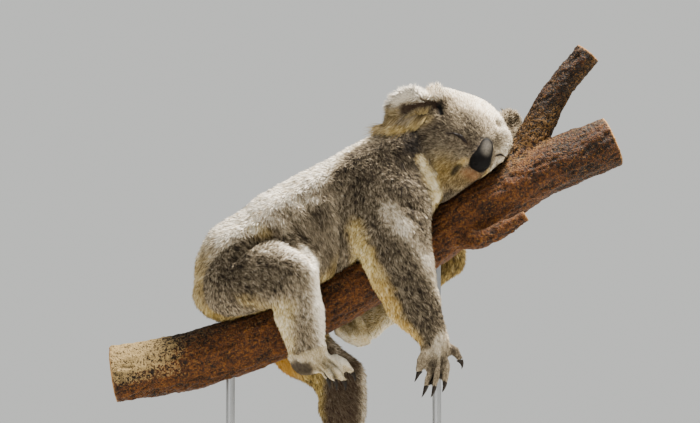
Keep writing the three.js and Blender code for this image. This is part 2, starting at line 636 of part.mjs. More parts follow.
// The trunk with the limbs' spaces taken out of it, and the head, parted by flat cuts.
const clear = (shape) => [...room, ...claims, sleeve].reduce((rest, taken) => rest.subtract(taken), shape);
const trunkShape = (p) => blend(blend(flesh.rightArm(p), flesh.leftArm(p), LIMB_PAIR_BLEND),
  blend(flesh.rightLeg(p), flesh.leftLeg(p), LIMB_PAIR_BLEND), LIMB_PAIR_BLEND);
const trunk = surface(trunkShape, TRUNK_LOW, TRUNK_HIGH, TRUNK_STEP);
const neckShape = (p) => blend(headField(p), trunkField(p), HEAD_BLEND);
const front = surface(neckShape, HEAD_LOW, HEAD_HIGH, HEAD_STEP);
let rest = trunk;
for (const [name, plane] of Object.entries(TRUNK_CUTS)) {
  const part = rest.subtract(half(...plane, -SEAM / 2));
  rest = rest.intersect(half(...plane, SEAM / 2));
  add(name, largest(clear(part)), COLOURS.coat);
}
add('head', largest(clear(front.intersect(half(...TRUNK_CUTS.neck, SEAM / 2)))), COLOURS.coat);

// The branch rests on the two rods, which stand in sockets of the base.
const rods = { stand_rod_rear: REAR_ROD, stand_rod_front: FRONT_ROD };
let perch = branch;
let base = standBase();
for (const [name, place] of Object.entries(rods)) {
  add(name, standRod(place, place.top), COLOURS.rod, 0.35, 1);
  perch = perch.subtract(standRod(place, place.top + GAP, GAP));
  base = base.subtract(standRod(place, place.top, GAP));
}
add('branch', largest(perch), COLOURS.bark);
add('stand_base', base, COLOURS.base, 0.5);

export default model;
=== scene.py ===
import json
import math

import bmesh
import bpy
import numpy as np
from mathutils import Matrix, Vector
from mathutils.bvhtree import BVHTree


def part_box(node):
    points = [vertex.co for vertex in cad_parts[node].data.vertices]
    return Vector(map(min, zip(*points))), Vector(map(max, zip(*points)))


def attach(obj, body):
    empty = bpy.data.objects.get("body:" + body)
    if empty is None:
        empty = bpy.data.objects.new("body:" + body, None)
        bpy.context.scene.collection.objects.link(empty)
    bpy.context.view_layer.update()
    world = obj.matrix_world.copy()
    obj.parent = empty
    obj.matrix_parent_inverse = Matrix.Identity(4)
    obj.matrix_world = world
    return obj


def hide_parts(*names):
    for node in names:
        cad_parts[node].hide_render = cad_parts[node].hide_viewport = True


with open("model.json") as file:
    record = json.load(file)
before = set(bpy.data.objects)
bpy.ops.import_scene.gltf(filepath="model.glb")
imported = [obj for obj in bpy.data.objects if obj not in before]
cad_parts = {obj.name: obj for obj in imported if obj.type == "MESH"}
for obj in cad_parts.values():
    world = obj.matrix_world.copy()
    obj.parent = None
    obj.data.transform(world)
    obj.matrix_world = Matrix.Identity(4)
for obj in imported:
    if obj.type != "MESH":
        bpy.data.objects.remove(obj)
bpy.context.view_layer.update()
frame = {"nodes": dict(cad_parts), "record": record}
nodes = frame["nodes"]


# ---------------------------------------------------------------- display base
# A flat board of medium-density fibre, sprayed with matt warm-grey paint, with the edges
# bevelled. The two rods stand in blind holes in it.
BASE_PAINT = "#D9D6CF"
BASE_SCUFF = "#BEB9AE"
BASE_ORANGE_PEEL = 0.0004  # height of the paint's fine texture


def rgb(code):
    """The shader's linear colour for an ordinary #RRGGBB colour."""
    parts = [int(code[i:i + 2], 16) / 255 for i in (1, 3, 5)]
    return tuple(p / 12.92 if p <= 0.04045 else ((p + 0.055) / 1.055) ** 2.4 for p in parts) + (1.0,)


class Value:
    """A number on a shader's surface. Arithmetic on it adds Math nodes."""

    def __init__(self, paint, socket):
        self.paint = paint
        self.socket = socket

    def math(self, operation, first, second=0.0):
        return self.paint.node("ShaderNodeMath", {"operation": operation}, {0: first, 1: second})

    def __add__(self, other):
        return self.math("ADD", self, other)

    __radd__ = __add__

    def __mul__(self, other):
        return self.math("MULTIPLY", self, other)

    __rmul__ = __mul__

    def __sub__(self, other):
        return self.math("SUBTRACT", self, other)

    def __rsub__(self, other):
        return self.math("SUBTRACT", other, self)

    def __truediv__(self, other):
        return self.math("DIVIDE", self, other)

    def between(self, low, high):
        """0 up to low, 1 from high on, and a smooth change from one to the other."""
        return self.paint.node("ShaderNodeMapRange", {"interpolation_type": "SMOOTHSTEP"},
                               {"Value": self, "From Min": low, "From Max": high})


class Paint:
    """One material: its main shader, and the nodes that feed it."""

    def __init__(self, name, **fixed):
        self.material = bpy.data.materials.new(name)
        self.material.use_nodes = True
        self.tree = self.material.node_tree
        self.shader = self.tree.nodes["Principled BSDF"]
        for socket, value in fixed.items():
            self.shader.inputs[socket.replace("_", " ")].default_value = value

    def node(self, kind, settings, inputs, output=0):
        node = self.tree.nodes.new(kind)
        for name, value in settings.items():
            if name == "stops":
                while len(node.color_ramp.elements) < len(value):
                    node.color_ramp.elements.new(1.0)
                for stop, (place, colour) in zip(node.color_ramp.elements, value):
                    stop.position = place
                    stop.color = rgb(colour)
            else:
                setattr(node, name, value)
        for name, value in inputs.items():
            if isinstance(value, Value):
                self.tree.links.new(value.socket, node.inputs[name])
            else:
                node.inputs[name].default_value = value
        return Value(self, node.outputs[output])

    def place(self):
        return self.node("ShaderNodeTexCoord", {}, {}, "Object")

    def stretched(self, place, scale):
        return self.node("ShaderNodeVectorMath", {"operation": "MULTIPLY"}, {0: place, 1: scale})

    def noise(self, place, size, detail=3.0, roughness=0.55):
        """Smooth random values about 0.5 that change over the given size, in metres."""
        return self.node("ShaderNodeTexNoise", {}, {
            "Vector": place, "Scale": 1 / size, "Detail": detail, "Roughness": roughness})

    def mark(self, name, output="Fac"):
        return self.node("ShaderNodeAttribute", {"attribute_name": name}, {}, output)

    def mix(self, first, second, share):
        return self.node("ShaderNodeMix", {"data_type": "RGBA"}, {
            "Factor": share,
            6: rgb(first) if isinstance(first, str) else first,
            7: rgb(second) if isinstance(second, str) else second}, 2)

    def ramp(self, value, *stops):
        return self.node("ShaderNodeValToRGB", {"stops": stops}, {"Fac": value}, 0)

    def feed(self, socket, value):
        self.tree.links.new(value.socket, self.shader.inputs[socket])

    def bump(self, height, distance):
        normal = self.node("ShaderNodeBump", {}, {"Height": height, "Distance": distance,
                                                  "Strength": 1.0})
        self.feed("Normal", normal)

    def on(self, *pieces):
        for piece in pieces:
            piece.data.materials.clear()
            piece.data.materials.append(self.material)


board = Paint("sprayed_board", Roughness=0.55)
board_place = board.place()
board_wear = board.noise(board_place, 0.09).between(0.35, 0.8)
board_grain = board.noise(board_place, 0.0022, 2.0)
board.feed("Base Color", board.mix(BASE_PAINT, BASE_SCUFF, board_wear * 0.6 + board_grain * 0.25))
board.feed("Roughness", 0.48 + board_wear * 0.2)
board.bump(board_grain, BASE_ORANGE_PEEL)
board.on(nodes["stand_base"])


# ---------------------------------------------------------------- rods
# Two bars of brushed stainless steel, 14 mm thick, turned with the brushing running round
# them. Their tops sit in holes drilled in the branch.
STEEL_BRIGHT = "#A9ABAE"
STEEL_DULL = "#7F8184"
BRUSH_SIZE = 0.0009  # height of one brushed line
BRUSH_DEPTH = 0.00005

steel = Paint("brushed_steel", Metallic=1.0, Roughness=0.34)
steel_place = steel.place()
brushing = steel.noise(steel.stretched(steel_place, (0.15, 0.15, 1.0)), BRUSH_SIZE, 2.0)
steel_stain = steel.noise(steel_place, 0.03)
steel.feed("Base Color", steel.mix(STEEL_DULL, STEEL_BRIGHT, brushing * 0.6 + steel_stain * 0.4))
steel.feed("Roughness", 0.26 + brushing * 0.14 + steel_stain * 0.1)
steel.bump(brushing, BRUSH_DEPTH)
steel.on(nodes["stand_rod_rear"], nodes["stand_rod_front"])


# ---------------------------------------------------------------- branch
# A cut length of a living limb with its fork and one sawn stub. Rough red-brown bark with pits, short
# cracks and golden grains, crusted pale gold at the root of the fork, with painted sunlight on the upper
# side of the limb and of its low end, and pale end grain where it is sawn.
BARK_CELL = 0.0027  # size of the mesh's cells
BARK_SWELL = 0.002  # depth of the limb's slow swells
BARK_RIDGE = 0.0013
BARK_PIT = 0.0018
BARK_GRIT = 0.0009
BARK_INSET = 0.0012  # the bark stays this far inside the solid's outline
LIMB_SLOPE = (0.86, 0.0, 0.51)  # the way the limb grows
SAWN_ENDS = [  # middle of each sawn face, and the way it looks
    ((-0.337, 0.0, 0.209), (-0.989, 0.0, -0.147)),
    ((0.462, 0.0, 0.583), (0.92, 0.0, 0.39)),
    ((0.424, 0.012, 0.727), (0.64, 0.0, 0.77)),
    ((0.318, -0.052, 0.458), (0.85, -0.1, 0.5)),
]
SAWN_FACE = 0.003  # how near a sawn end's plane counts as its face
RING_SIZE = 0.0042  # width of a year's ring
HEARTWOOD = 0.026  # radius of the darker wood in the middle
BARK_DARK = "#100702"
BARK_BROWN = "#40220A"
BARK_WARM = "#6A3E10"
BARK_SPECK = "#76501A"  # the golden grains all over it
BARK_CRUST = "#70522A"  # the crumbly crust at the root of the fork
BARK_WEATHERED_AND_SUNLIT = "#4A3B28"  # weathered grey grains, commoner on the upper side of the limb and fork as painted sunlight
BARK_SUNLIT_PALE = "#A0875A"  # painted sunlight on the upper side of the low end, in a fine grain
SAWN_PALE = "#A87D4B"
SAWN_DARK = "#5E3A1A"


def fade(value, low, high):
    t = np.clip((value - low) / (high - low), 0.0, 1.0)
    return t * t * (3 - 2 * t)


def cloud(points, size, seed):
    """Smooth random values from -1 to 1 at points, changing over about the given size."""
    cell = points / size
    low = np.floor(cell).astype(np.int64)
    t = cell - low
    t = t * t * (3 - 2 * t)
    total = np.zeros(len(points))
    for corner in np.ndindex(2, 2, 2):
        share = np.prod(np.where(corner, t, 1 - t), axis=1)
        key = (low + corner) @ np.array([73856093, 19349663, 83492791]) + seed * 2654435761
        key = (key ^ (key >> 13)) * 1274126177
        total += share * (((key ^ (key >> 16)) & 4095) / 2047.5 - 1)
    return total


def clouds(points, size, seed):
    """Three such values for each point, as a vector."""
    return np.stack([cloud(points, size, seed + i) for i in range(3)], axis=1)


def unit(vectors):
    vectors = np.asarray(vectors, dtype=float)
    return vectors / np.maximum(np.linalg.norm(vectors, axis=-1, keepdims=True), 1e-12)


def beside(points, start, end, radius, soft=0.6):
    """1 near the line from start to end and 0 beyond the radius round it."""
    start, end = np.array(start), np.array(end)
    run = end - start
    t = np.clip((points - start) @ run / max(run @ run, 1e-12), 0, 1)
    distance = np.linalg.norm(points - start - t[:, None] * run, axis=1)
    return 1 - fade(distance, radius * (1 - soft), radius)


def placed(name, data):
    """A new object of a mesh, lamp or camera, in the scene."""
    thing = bpy.data.objects.new(name, data)
    bpy.context.scene.collection.objects.link(thing)
    return thing


def new_piece(name, points, faces, uvs=None):
    """A mesh object from arrays of points and of equal-sided faces."""
    mesh = bpy.data.meshes.new(name)
    sides = faces.shape[1]
    mesh.vertices.add(len(points))
    mesh.loops.add(faces.size)
    mesh.polygons.add(len(faces))
    mesh.vertices.foreach_set("co", points.astype(np.float32).ravel())
    mesh.loops.foreach_set("vertex_index", faces.astype(np.int32).ravel())
    mesh.polygons.foreach_set("loop_start", np.arange(0, faces.size, sides, dtype=np.int32))
    mesh.polygons.foreach_set("loop_total", np.full(len(faces), sides, dtype=np.int32))
    mesh.polygons.foreach_set("use_smooth", np.ones(len(faces), dtype=bool))
    if uvs is not None:
        layer = mesh.uv_layers.new(name="OFBake")
        layer.data.foreach_set("uv", uvs.astype(np.float32).ravel())
    mesh.update(calc_edges=True)
    return placed(name, mesh)


def add_marks(piece, **marks):
    """Stores numbers, or vectors, for the points of a piece, each under its name."""
    for name, values in marks.items():
        kind, field = ("FLOAT", "value") if values.ndim == 1 else ("FLOAT_VECTOR", "vector")
        layer = piece.data.attributes.new(name, kind, "POINT")
        layer.data.foreach_set(field, values.astype(np.float32).ravel())


def remeshed(names, cell, grow=0.0):
    """Points and quads of one even surface round the named solids, each made fatter by grow."""
    joined = bmesh.new()
    for name in names:
        solid = bmesh.new()
        solid.from_mesh(nodes[name].data)
        bmesh.ops.remove_doubles(solid, verts=solid.verts, dist=1e-5)
        bmesh.ops.triangulate(solid, faces=solid.faces)
        solid.normal_update()
        for vertex in solid.verts:
            vertex.co += vertex.normal * grow
        mesh = bpy.data.meshes.new(name)
        solid.to_mesh(mesh)
        joined.from_mesh(mesh)
        solid.free()
    mesh = bpy.data.meshes.new("joined")
    joined.to_mesh(mesh)
    joined.free()
    holder = placed("joined", mesh)
    remesh = holder.modifiers.new("remesh", "REMESH")
    remesh.mode = "VOXEL"
    remesh.voxel_size = cell
    even = holder.evaluated_get(bpy.context.evaluated_depsgraph_get()).to_mesh()
    points = np.empty(len(even.vertices) * 3)
    even.vertices.foreach_get("co", points)
    quads = np.empty(len(even.loops), dtype=np.int64)
    even.loops.foreach_get("vertex_index", quads)
    assert len(quads) == 4 * len(even.polygons)
    bpy.data.objects.remove(holder)
    return points.reshape(-1, 3), quads.reshape(-1, 4)


class Net:
    """An even surface of quads, with its neighbours at hand for smoothing."""

    def __init__(self, points, quads):
        self.points = points
        self.quads = quads
        ends = np.concatenate([quads[:, [i, (i + 1) % 4]] for i in range(4)])
        self.ends = np.unique(np.sort(ends, axis=1), axis=0)
        self.count = np.bincount(self.ends.ravel(), minlength=len(points))

    def largest(self):
        """The net without its smaller separate shells."""
        label = np.arange(len(self.points))
        while True:
            low = np.minimum(label[self.ends[:, 0]], label[self.ends[:, 1]])
            fresh = label.copy()
            np.minimum.at(fresh, self.ends[:, 0], low)
            np.minimum.at(fresh, self.ends[:, 1], low)
            fresh = fresh[fresh]
            if (fresh == label).all():
                break
            label = fresh
        names, sizes = np.unique(label, return_counts=True)
        kept = label == names[sizes.argmax()]
        number = np.cumsum(kept) - 1
        return Net(self.points[kept], number[self.quads[kept[self.quads[:, 0]]]])

    def around(self, values):
        """The mean of the neighbours' values at each point."""
        columns = values.reshape(len(values), -1)
        sums = np.empty(columns.shape)
        for c in range(columns.shape[1]):
            sums[:, c] = np.bincount(self.ends[:, 0], columns[self.ends[:, 1], c], len(values))
            sums[:, c] += np.bincount(self.ends[:, 1], columns[self.ends[:, 0], c], len(values))
        return (sums / self.count[:, None]).reshape(values.shape)

    def smoothed(self, values, turns, rate=0.5):
        for _ in range(turns):
            values = values + (self.around(values) - values) * rate
        return values

    def normals(self):
        a, b, c, d = (self.points[self.quads[:, i]] for i in range(4))
        faces = np.cross(c - a, d - b)
        total = np.zeros(self.points.shape)
        for i in range(4):
            for axis in range(3):
                total[:, axis] += np.bincount(self.quads[:, i], faces[:, axis], len(total))
        return unit(total)


bark = Net(*remeshed(["branch"], BARK_CELL)).largest()
bark.points = bark.smoothed(bark.points, 3)
bark_sawn = np.zeros(len(bark.points))
bark_radius = np.zeros(len(bark.points))
for middle, way in SAWN_ENDS:
    way = unit(way)
    offset = bark.points - np.array(middle)
    ahead = offset @ way
    across = np.linalg.norm(offset - ahead[:, None] * way, axis=1)
    here = (ahead > -SAWN_FACE) & (across < 0.06) & (bark.normals() @ way > 0.6)
    bark_sawn[here] = 1
    bark_radius = np.where(here, across, bark_radius)
bark_sawn = bark.smoothed(bark_sawn, 1)

slope = np.array(LIMB_SLOPE)
along = bark.points @ slope
stretched = bark.points - 0.72 * along[:, None] * slope
bark_normals = bark.normals()
swell = cloud(bark.points, 0.045, 1) + 0.5 * cloud(bark.points, 0.02, 2)
ridge = 1 - 2 * np.abs(cloud(stretched, 0.0065, 3)) + 0.6 * cloud(stretched, 0.004, 4)
pits = fade(cloud(bark.points, 0.0055, 5), 0.35, 0.75)
grit = cloud(bark.points, 0.0032, 6)
relief = BARK_SWELL * swell + BARK_RIDGE * ridge - BARK_PIT * pits + BARK_GRIT * grit
bark.points = bark.points + bark_normals * ((relief - BARK_INSET) * (1 - bark_sawn))[:, None]

branch_piece = new_piece("branch_bark", bark.points, bark.quads)
crust = beside(bark.points, (0.3, 0.0, 0.545), (0.338, 0.012, 0.6), 0.052, 0.8)
crust += 0.6 * beside(bark.points, (0.345, 0.0, 0.58), (0.44, 0.0, 0.7), 0.03, 0.7)
fork = fade(bark.points[:, 2] - 0.6 * bark.points[:, 0], 0.36, 0.42)
fork += 0.6 * fade(bark.points[:, 0], 0.28, 0.42)
# Painted sunlight: the low end's upper side is paler, in a fine grain.
dry = fade(0.024 * swell + 0.01 * grit - bark.points[:, 0], 0.215, 0.285)
dry *= fade(bark_normals[:, 2] + 0.15 * swell, -0.55, 0.05)
# The upper side is marked so that sunlight can be painted on it.
add_marks(
    branch_piece, sawn=bark_sawn, pith=bark_radius, pit=pits, dry=dry,
    ridge=np.clip(ridge * 0.5 + 0.5, 0, 1), crust=np.clip(crust, 0, 1), fork=np.clip(fork, 0, 1),
    top=fade(bark_normals[:, 2] + 0.25 * swell, 0.1, 0.85))

wood = Paint("bark", Roughness=0.8, Specular_IOR_Level=0.22)
bark_place = wood.place()
fine = wood.noise(bark_place, 0.004, 2.0, 0.65)
grains = wood.noise(bark_place, 0.0027, 1.0, 0.5)
coarse = wood.noise(bark_place, 0.02, 3.0)
top, ridges, forked, sunlit_end = (wood.mark(name) for name in ("top", "ridge", "fork", "dry"))
bark_colour = wood.ramp((fine - 0.5) * 1.5 + ridges * 0.3 + coarse * 0.55 - forked * 0.32,
                        (0.2, BARK_DARK), (0.5, BARK_BROWN), (0.95, BARK_WARM))
# Weathered grey grains, made commoner on the upper side as painted sunlight; the golden grains also grow a
# little there.
weathering_and_sunlight = (grains * 0.8 + top * 0.24 + forked * 0.04).between(0.58, 0.82)
crumbs = (grains * 0.5 + fine * 0.5).between(0.44, 0.58)
# The fine grain in which the low end's painted sunlight shows.
sunlit_grain = (grains * 0.55 + fine * 0.45 + sunlit_end * 0.16).between(0.52, 0.66)
for colour, share in (
        (BARK_SPECK, (grains + top * 0.05).between(0.56, 0.74) * 0.6),
        (BARK_WEATHERED_AND_SUNLIT, weathering_and_sunlight * 0.7),
        (BARK_CRUST, crumbs * wood.mark("crust") * 0.85),
        (BARK_SUNLIT_PALE, sunlit_grain * sunlit_end),
        (BARK_DARK, wood.mark("pit") * 0.45 + forked * 0.2)):
    bark_colour = wood.mix(bark_colour, colour, share)
pith = wood.mark("pith")
rings = pith / RING_SIZE + coarse * 1.5
heart = (1 - pith / HEARTWOOD).between(0.0, 0.5)
ring = wood.node("ShaderNodeMath", {"operation": "SINE"}, {0: rings * (2 * math.pi)})
sawn = wood.mix(SAWN_PALE, SAWN_DARK, ring * 0.3 + 0.1 + heart * 0.5 + (fine - 0.5) * 0.9)
wood.feed("Base Color", wood.mix(bark_colour, sawn, wood.mark("sawn")))
wood.feed("Roughness", 0.62 + fine * 0.3)
wood.bump(fine + grains * 0.6 + ridges * 0.3, 0.0022)
wood.on(branch_piece)
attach(branch_piece, "root")
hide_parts("branch")


# ---------------------------------------------------------------- skin
# The whole hide in one piece, from the nose to the toes. It lies inside the coat's outline by
# the depth of the hair, and has the lids, brow, lips, ear hollows and the folds of the flank.
SKIN_CELL = 0.0023
SEAM_FILL = 0.0012  # closes the thin cuts between the solids
HEAD_CENTRE = np.array([0.224, -0.025, 0.586])
FACE_WAY = (0.41, -0.89, -0.17)  # the way the sleeping face looks
LEFT_WAY = (0.86, 0.4, -0.33)
FACE_MIDDLE = 0.006  # how far to the left of that centre the face's middle line is
# What each solid wears: hair length, height of the hair's tips over the skin, tuft width
# (metres), and tufts for each square millimetre.
HAIR = {
    "pelvis": (0.0125, 0.0062, 0.0013, 0.6),
    "abdomen": (0.0125, 0.0058, 0.0013, 0.66),
    "chest": (0.0105, 0.0056, 0.0012, 0.8),
    "neck": (0.012, 0.006, 0.0012, 0.9),
    "head": (0.0066, 0.0032, 0.001, 1.15),
    "eye": (0.0034, 0.0014, 0.0008, 1.3),
    "nose": (0.003, 0.0012, 0.0008, 0.0),
    "ear": (0.012, 0.0048, 0.0011, 1.4),
    "upper_arm": (0.0082, 0.0046, 0.0011, 0.9),
    "forearm": (0.008, 0.0042, 0.0011, 0.95),
    "hand": (0.0052, 0.0018, 0.0009, 1.5),
    "thigh": (0.009, 0.005, 0.0012, 0.78),
    "shank": (0.0082, 0.0042, 0.0011, 0.9),
    "foot": (0.0052, 0.0018, 0.0009, 1.5),
}
# The hair of each solid lies towards the middle of the next one.
LIES_TOWARDS = {
    "neck": "chest", "chest": "abdomen", "abdomen": "pelvis", "pelvis": "thigh_right",
    "upper_arm_right": "forearm_right", "forearm_right": "hand_right",
    "hand_right": "claw_right_hand_finger_3", "upper_arm_left": "forearm_left",
    "forearm_left": "hand_left", "hand_left": "claw_left_hand_finger_3",
    "thigh_right": "shank_right", "shank_right": "foot_right",
    "foot_right": "claw_right_foot_toe_3", "thigh_left": "shank_left",
    "shank_left": "foot_left", "foot_left": "claw_left_foot_toe_3",
}
FLANK_LIE = np.array([0.42, 0.0, -0.9])  # hair of the sides falls down and a little forward


def centre(name):
    low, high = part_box(name)
    return np.array((low + high) / 2)


slots = {part["node"]: part["material_slot"] for part in frame["record"]["subparts"]}
flesh = sorted(name for name, slot in slots.items() if slot in ("coat", "eyelid"))
skin = Net(*remeshed(flesh + ["nose"], SKIN_CELL, SEAM_FILL)).largest()

triangles = []
owners = []
corners = []
for index, name in enumerate(flesh + ["nose"]):
    mesh = nodes[name].data
    mesh.calc_loop_triangles()
    base = len(corners)
    corners.extend(vertex.co.copy() for vertex in mesh.vertices)
    for triangle in mesh.loop_triangles:
        triangles.append(tuple(base + v for v in triangle.vertices))
        owners.append(index)
solids = BVHTree.FromPolygons(corners, triangles)
owner = np.array([owners[solids.find_nearest(Vector(p))[2]] for p in skin.points])
owner_names = np.array(flesh + ["nose"])[owner]


def kind_of(name):
    return next(kind for kind in HAIR if name.startswith(kind))


kinds = np.array([kind_of(name) for name in flesh + ["nose"]])[owner]

# Even out the solids' facets: strongly on the body, lightly on the toes, fingers and ears.
softness = np.where(np.isin(kinds, ["hand", "foot"]), 0.16, 0.5)
softness = np.where(kinds == "ear", 0.3, softness)
softness = skin.smoothed(softness, 6)[:, None]
for turn in range(24):
    skin.points = skin.points + (skin.around(skin.points) - skin.points) * softness

hair = {}
for column, name in enumerate(("length", "height", "width", "density")):
    table = {kind: values[column] for kind, values in HAIR.items()}
    hair[name] = skin.smoothed(np.array([table[kind] for kind in kinds]), 10)

forward = unit(FACE_WAY)
up = unit(np.cross(forward, LEFT_WAY))
left = np.cross(up, forward)
head_axes = np.stack([forward, left, up], axis=1)


def in_head(points):
    """Places in the head's own axes: forward, left and up from its centre."""
    return (points - HEAD_CENTRE) @ head_axes


def to_world(place):
    return HEAD_CENTRE + np.array(place) @ head_axes.T


# Short hair round the eyes, nose, lips and ear openings.
EYE_IN = (0.058, 0.026, -0.016)  # inner corner, peak and outer corner of the closed lids
EYE_TOP = (0.047, 0.042, -0.008)
EYE_OUT = (0.04, 0.059, -0.013)


def folded(place):
    """Places in the head with both sides of the face laid on one another."""
    return place * [1, 0, 1] + np.abs((place - [0, FACE_MIDDLE, 0]) * [0, 1, 0])


face_place = in_head(skin.points)
mirrored = folded(face_place)
on_head = np.isin(kinds, ["head", "eye", "nose"])
muzzle = beside(mirrored, (0.062, 0, 0.004), (0.056, 0, -0.062), 0.036, 0.7) * on_head
lids = (beside(mirrored, EYE_IN, EYE_TOP, 0.013) + beside(mirrored, EYE_TOP, EYE_OUT, 0.013)).clip(0, 1)
lids = lids * on_head
face = beside(mirrored, (0.05, 0.0, -0.02), (0.05, 0.03, -0.02), 0.055, 0.8) * on_head
hair["length"] *= (1 - 0.35 * face) * (1 - 0.45 * muzzle) * (1 - 0.4 * lids)
hair["height"] *= (1 - 0.35 * face) * (1 - 0.5 * muzzle) * (1 - 0.5 * lids)
slit = beside(mirrored, EYE_IN, EYE_TOP, 0.006, 0.5) + beside(mirrored, EYE_TOP, EYE_OUT, 0.005, 0.5)
slit = np.clip(slit, 0, 1) * on_head
hair["length"] *= 1 - 0.35 * slit
hair["density"] *= 1 - 0.9 * slit

# Fingers and toes: the groove between two is where the lines down to their claws are equally
# near. The hair is shortest there.
groove = np.zeros(len(skin.points))
digits = np.zeros(len(skin.points))
for limb, root in (("right_hand", "hand_right"), ("left_hand", "hand_left"),
                   ("right_foot", "foot_right"), ("left_foot", "foot_left")):
    here = np.nonzero(owner_names == root)[0]
    wrist = centre(root) * 2 - np.mean([centre(n) for n in nodes if n.startswith(f"claw_{limb}")], axis=0)
    gaps = []
    for name in sorted(n for n in nodes if n.startswith(f"claw_{limb}")):
        run = centre(name) - wrist
        t = np.clip((skin.points[here] - wrist) @ run / (run @ run), 0, 1)
        gaps.append(np.linalg.norm(skin.points[here] - wrist - t[:, None] * run, axis=1))
    reach = np.linalg.norm(skin.points[here] - wrist, axis=1) / np.linalg.norm(run)
    gaps = np.sort(np.array(gaps), axis=0)
    digits[here] = fade(reach, 0.4, 0.65)
    groove[here] = (1 - fade(gaps[1] - gaps[0], 0.0003, 0.005)) * digits[here]
groove = skin.smoothed(groove, 1)
digits = skin.smoothed(digits, 3)
hair["length"] *= 1 - 0.35 * digits
hair["height"] *= 1 - 0.45 * digits

# Hollow of each ear, laid out across the way the ear opens, and its dark opening.
EAR_BAND = {"ear_right": ((0.131, 0.626), (0.174, 0.635)), "ear_left": ((0.286, 0.604), (0.3, 0.612))}
EAR_OPENING = {"ear_right": ((0.181, 0.634), (0.183, 0.622)), "ear_left": ((0.276, 0.606), (0.278, 0.598))}


def from_right(place):
    """An (x, z) place as a point of the right-hand view, without its depth."""
    return place[0], 0.0, place[1]


flat_side = skin.points * [1, 0, 1]
near_ear = skin.normals()[:, 1] < np.select([kinds == "ear", kinds == "head"], [0.25, -0.15], -2.0)
ear_band = np.zeros(len(skin.points))
ear_opening = np.zeros(len(skin.points))
for name in EAR_BAND:
    wide = 0.0125 if name == "ear_right" else 0.009
    ear_band += beside(flat_side, *map(from_right, EAR_BAND[name]), wide, 0.6) * near_ear
    ear_opening += beside(flat_side, *map(from_right, EAR_OPENING[name]), wide * 0.7, 0.45) * near_ear
ear_band = skin.smoothed(np.clip(ear_band, 0, 1), 1)
ear_opening = skin.smoothed(np.clip(ear_opening, 0, 1), 1)
hair["length"] *= (1 - 0.45 * ear_band) * (1 - 0.6 * ear_opening)
hair["height"] *= (1 - 0.5 * ear_band) * (1 - 0.6 * ear_opening)
hair["density"] *= 1 - 0.7 * ear_opening
rim = (kinds == "ear") * fade(skin.points[:, 2], 0.632, 0.652)
hair["length"] *= 1 + 0.4 * rim
hair["height"] *= 1 + 0.5 * rim

skin_normals = skin.normals()
for turn in range(4):
    step = skin.smoothed(skin.normals(), 3)
    skin.points = skin.points - unit(step) * (hair["height"] + SEAM_FILL)[:, None] / 4
    skin.points = skin.smoothed(skin.points, 1, 0.2)

# Sculpt the face and the folds of the flank and elbow.
hands = kinds == "hand"
feet = kinds == "foot"
face_place = in_head(skin.points)
mirrored = folded(face_place)
BROW = (0.046, 0.046, 0.0)
EYE_BULGE = (0.047, 0.048, -0.019)
FACE_RELIEF = [  # start and end of each swelling or hollow of the face, its height and radius
    (BROW, BROW, 0.002, 0.018),
    (EYE_BULGE, EYE_BULGE, 0.0038, 0.014),
    (EYE_IN, EYE_TOP, -0.0026, 0.005),
    (EYE_TOP, EYE_OUT, -0.0018, 0.004),
    ((0.058, 0.004, -0.052), (0.05, 0.022, -0.06), -0.0026, 0.005),
    ((0.05, 0.012, -0.046), (0.052, 0.018, -0.04), 0.003, 0.014),
]
relief = 0.0035 * beside(face_place, (0.02, 0.06, 0.03), (0.02, 0.06, 0.0), 0.035, 1.0)
for start, end, height, radius in FACE_RELIEF:
    relief += height * beside(mirrored, start, end, radius, 1.0)
relief *= on_head
relief -= np.where(feet, 0.0062, 0.0048) * groove + 0.003 * ear_band + 0.0055 * ear_opening
FOLDS = [  # start and end of each crease of the loose skin, its depth and its half width
    ((0.012, -0.085, 0.492), (0.03, -0.08, 0.41), 0.0045, 0.014),
    ((-0.04, -0.075, 0.48), (0.012, -0.078, 0.42), 0.003, 0.011),
    ((-0.068, -0.085, 0.47), (-0.02, -0.08, 0.395), 0.003, 0.011),
    ((-0.158, -0.092, 0.36), (-0.142, -0.092, 0.388), 0.004, 0.013),
    ((-0.142, -0.092, 0.388), (-0.112, -0.088, 0.415), 0.0085, 0.016),
    ((-0.112, -0.088, 0.415), (-0.084, -0.087, 0.424), 0.01, 0.017),
    ((-0.084, -0.087, 0.424), (-0.052, -0.095, 0.412), 0.0065, 0.014),
    ((-0.052, -0.095, 0.412), (-0.026, -0.1, 0.378), 0.005, 0.012),
    ((0.036, -0.088, 0.484), (0.06, -0.092, 0.478), 0.003, 0.01),
    ((0.128, -0.1, 0.47), (0.16, -0.092, 0.462), 0.003, 0.01),
    ((0.168, -0.06, 0.56), (0.196, -0.045, 0.5), 0.004, 0.014),
]
for start, end, depth, width in FOLDS:
    relief -= depth * beside(skin.points, start, end, width, 1.0)
relief += 0.0012 * cloud(skin.points, 0.03, 11) * ~on_head
skin.points = skin.points + skin.normals() * relief[:, None]
skin.points = skin.smoothed(skin.points, 1, 0.3)
skin_normals = skin.normals()

# The lie of the coat: down the limbs, back along the spine, down the flanks, back from the nose.
lie = np.zeros(skin.points.shape)
for index, name in enumerate(flesh + ["nose"]):
    here = owner == index
    if name in LIES_TOWARDS:
        lie[here] = unit(centre(LIES_TOWARDS[name]) - centre(name))


def over(*solid_names):
    """The skin's points that lie over the named solids."""
    return np.isin(owner_names, solid_names)


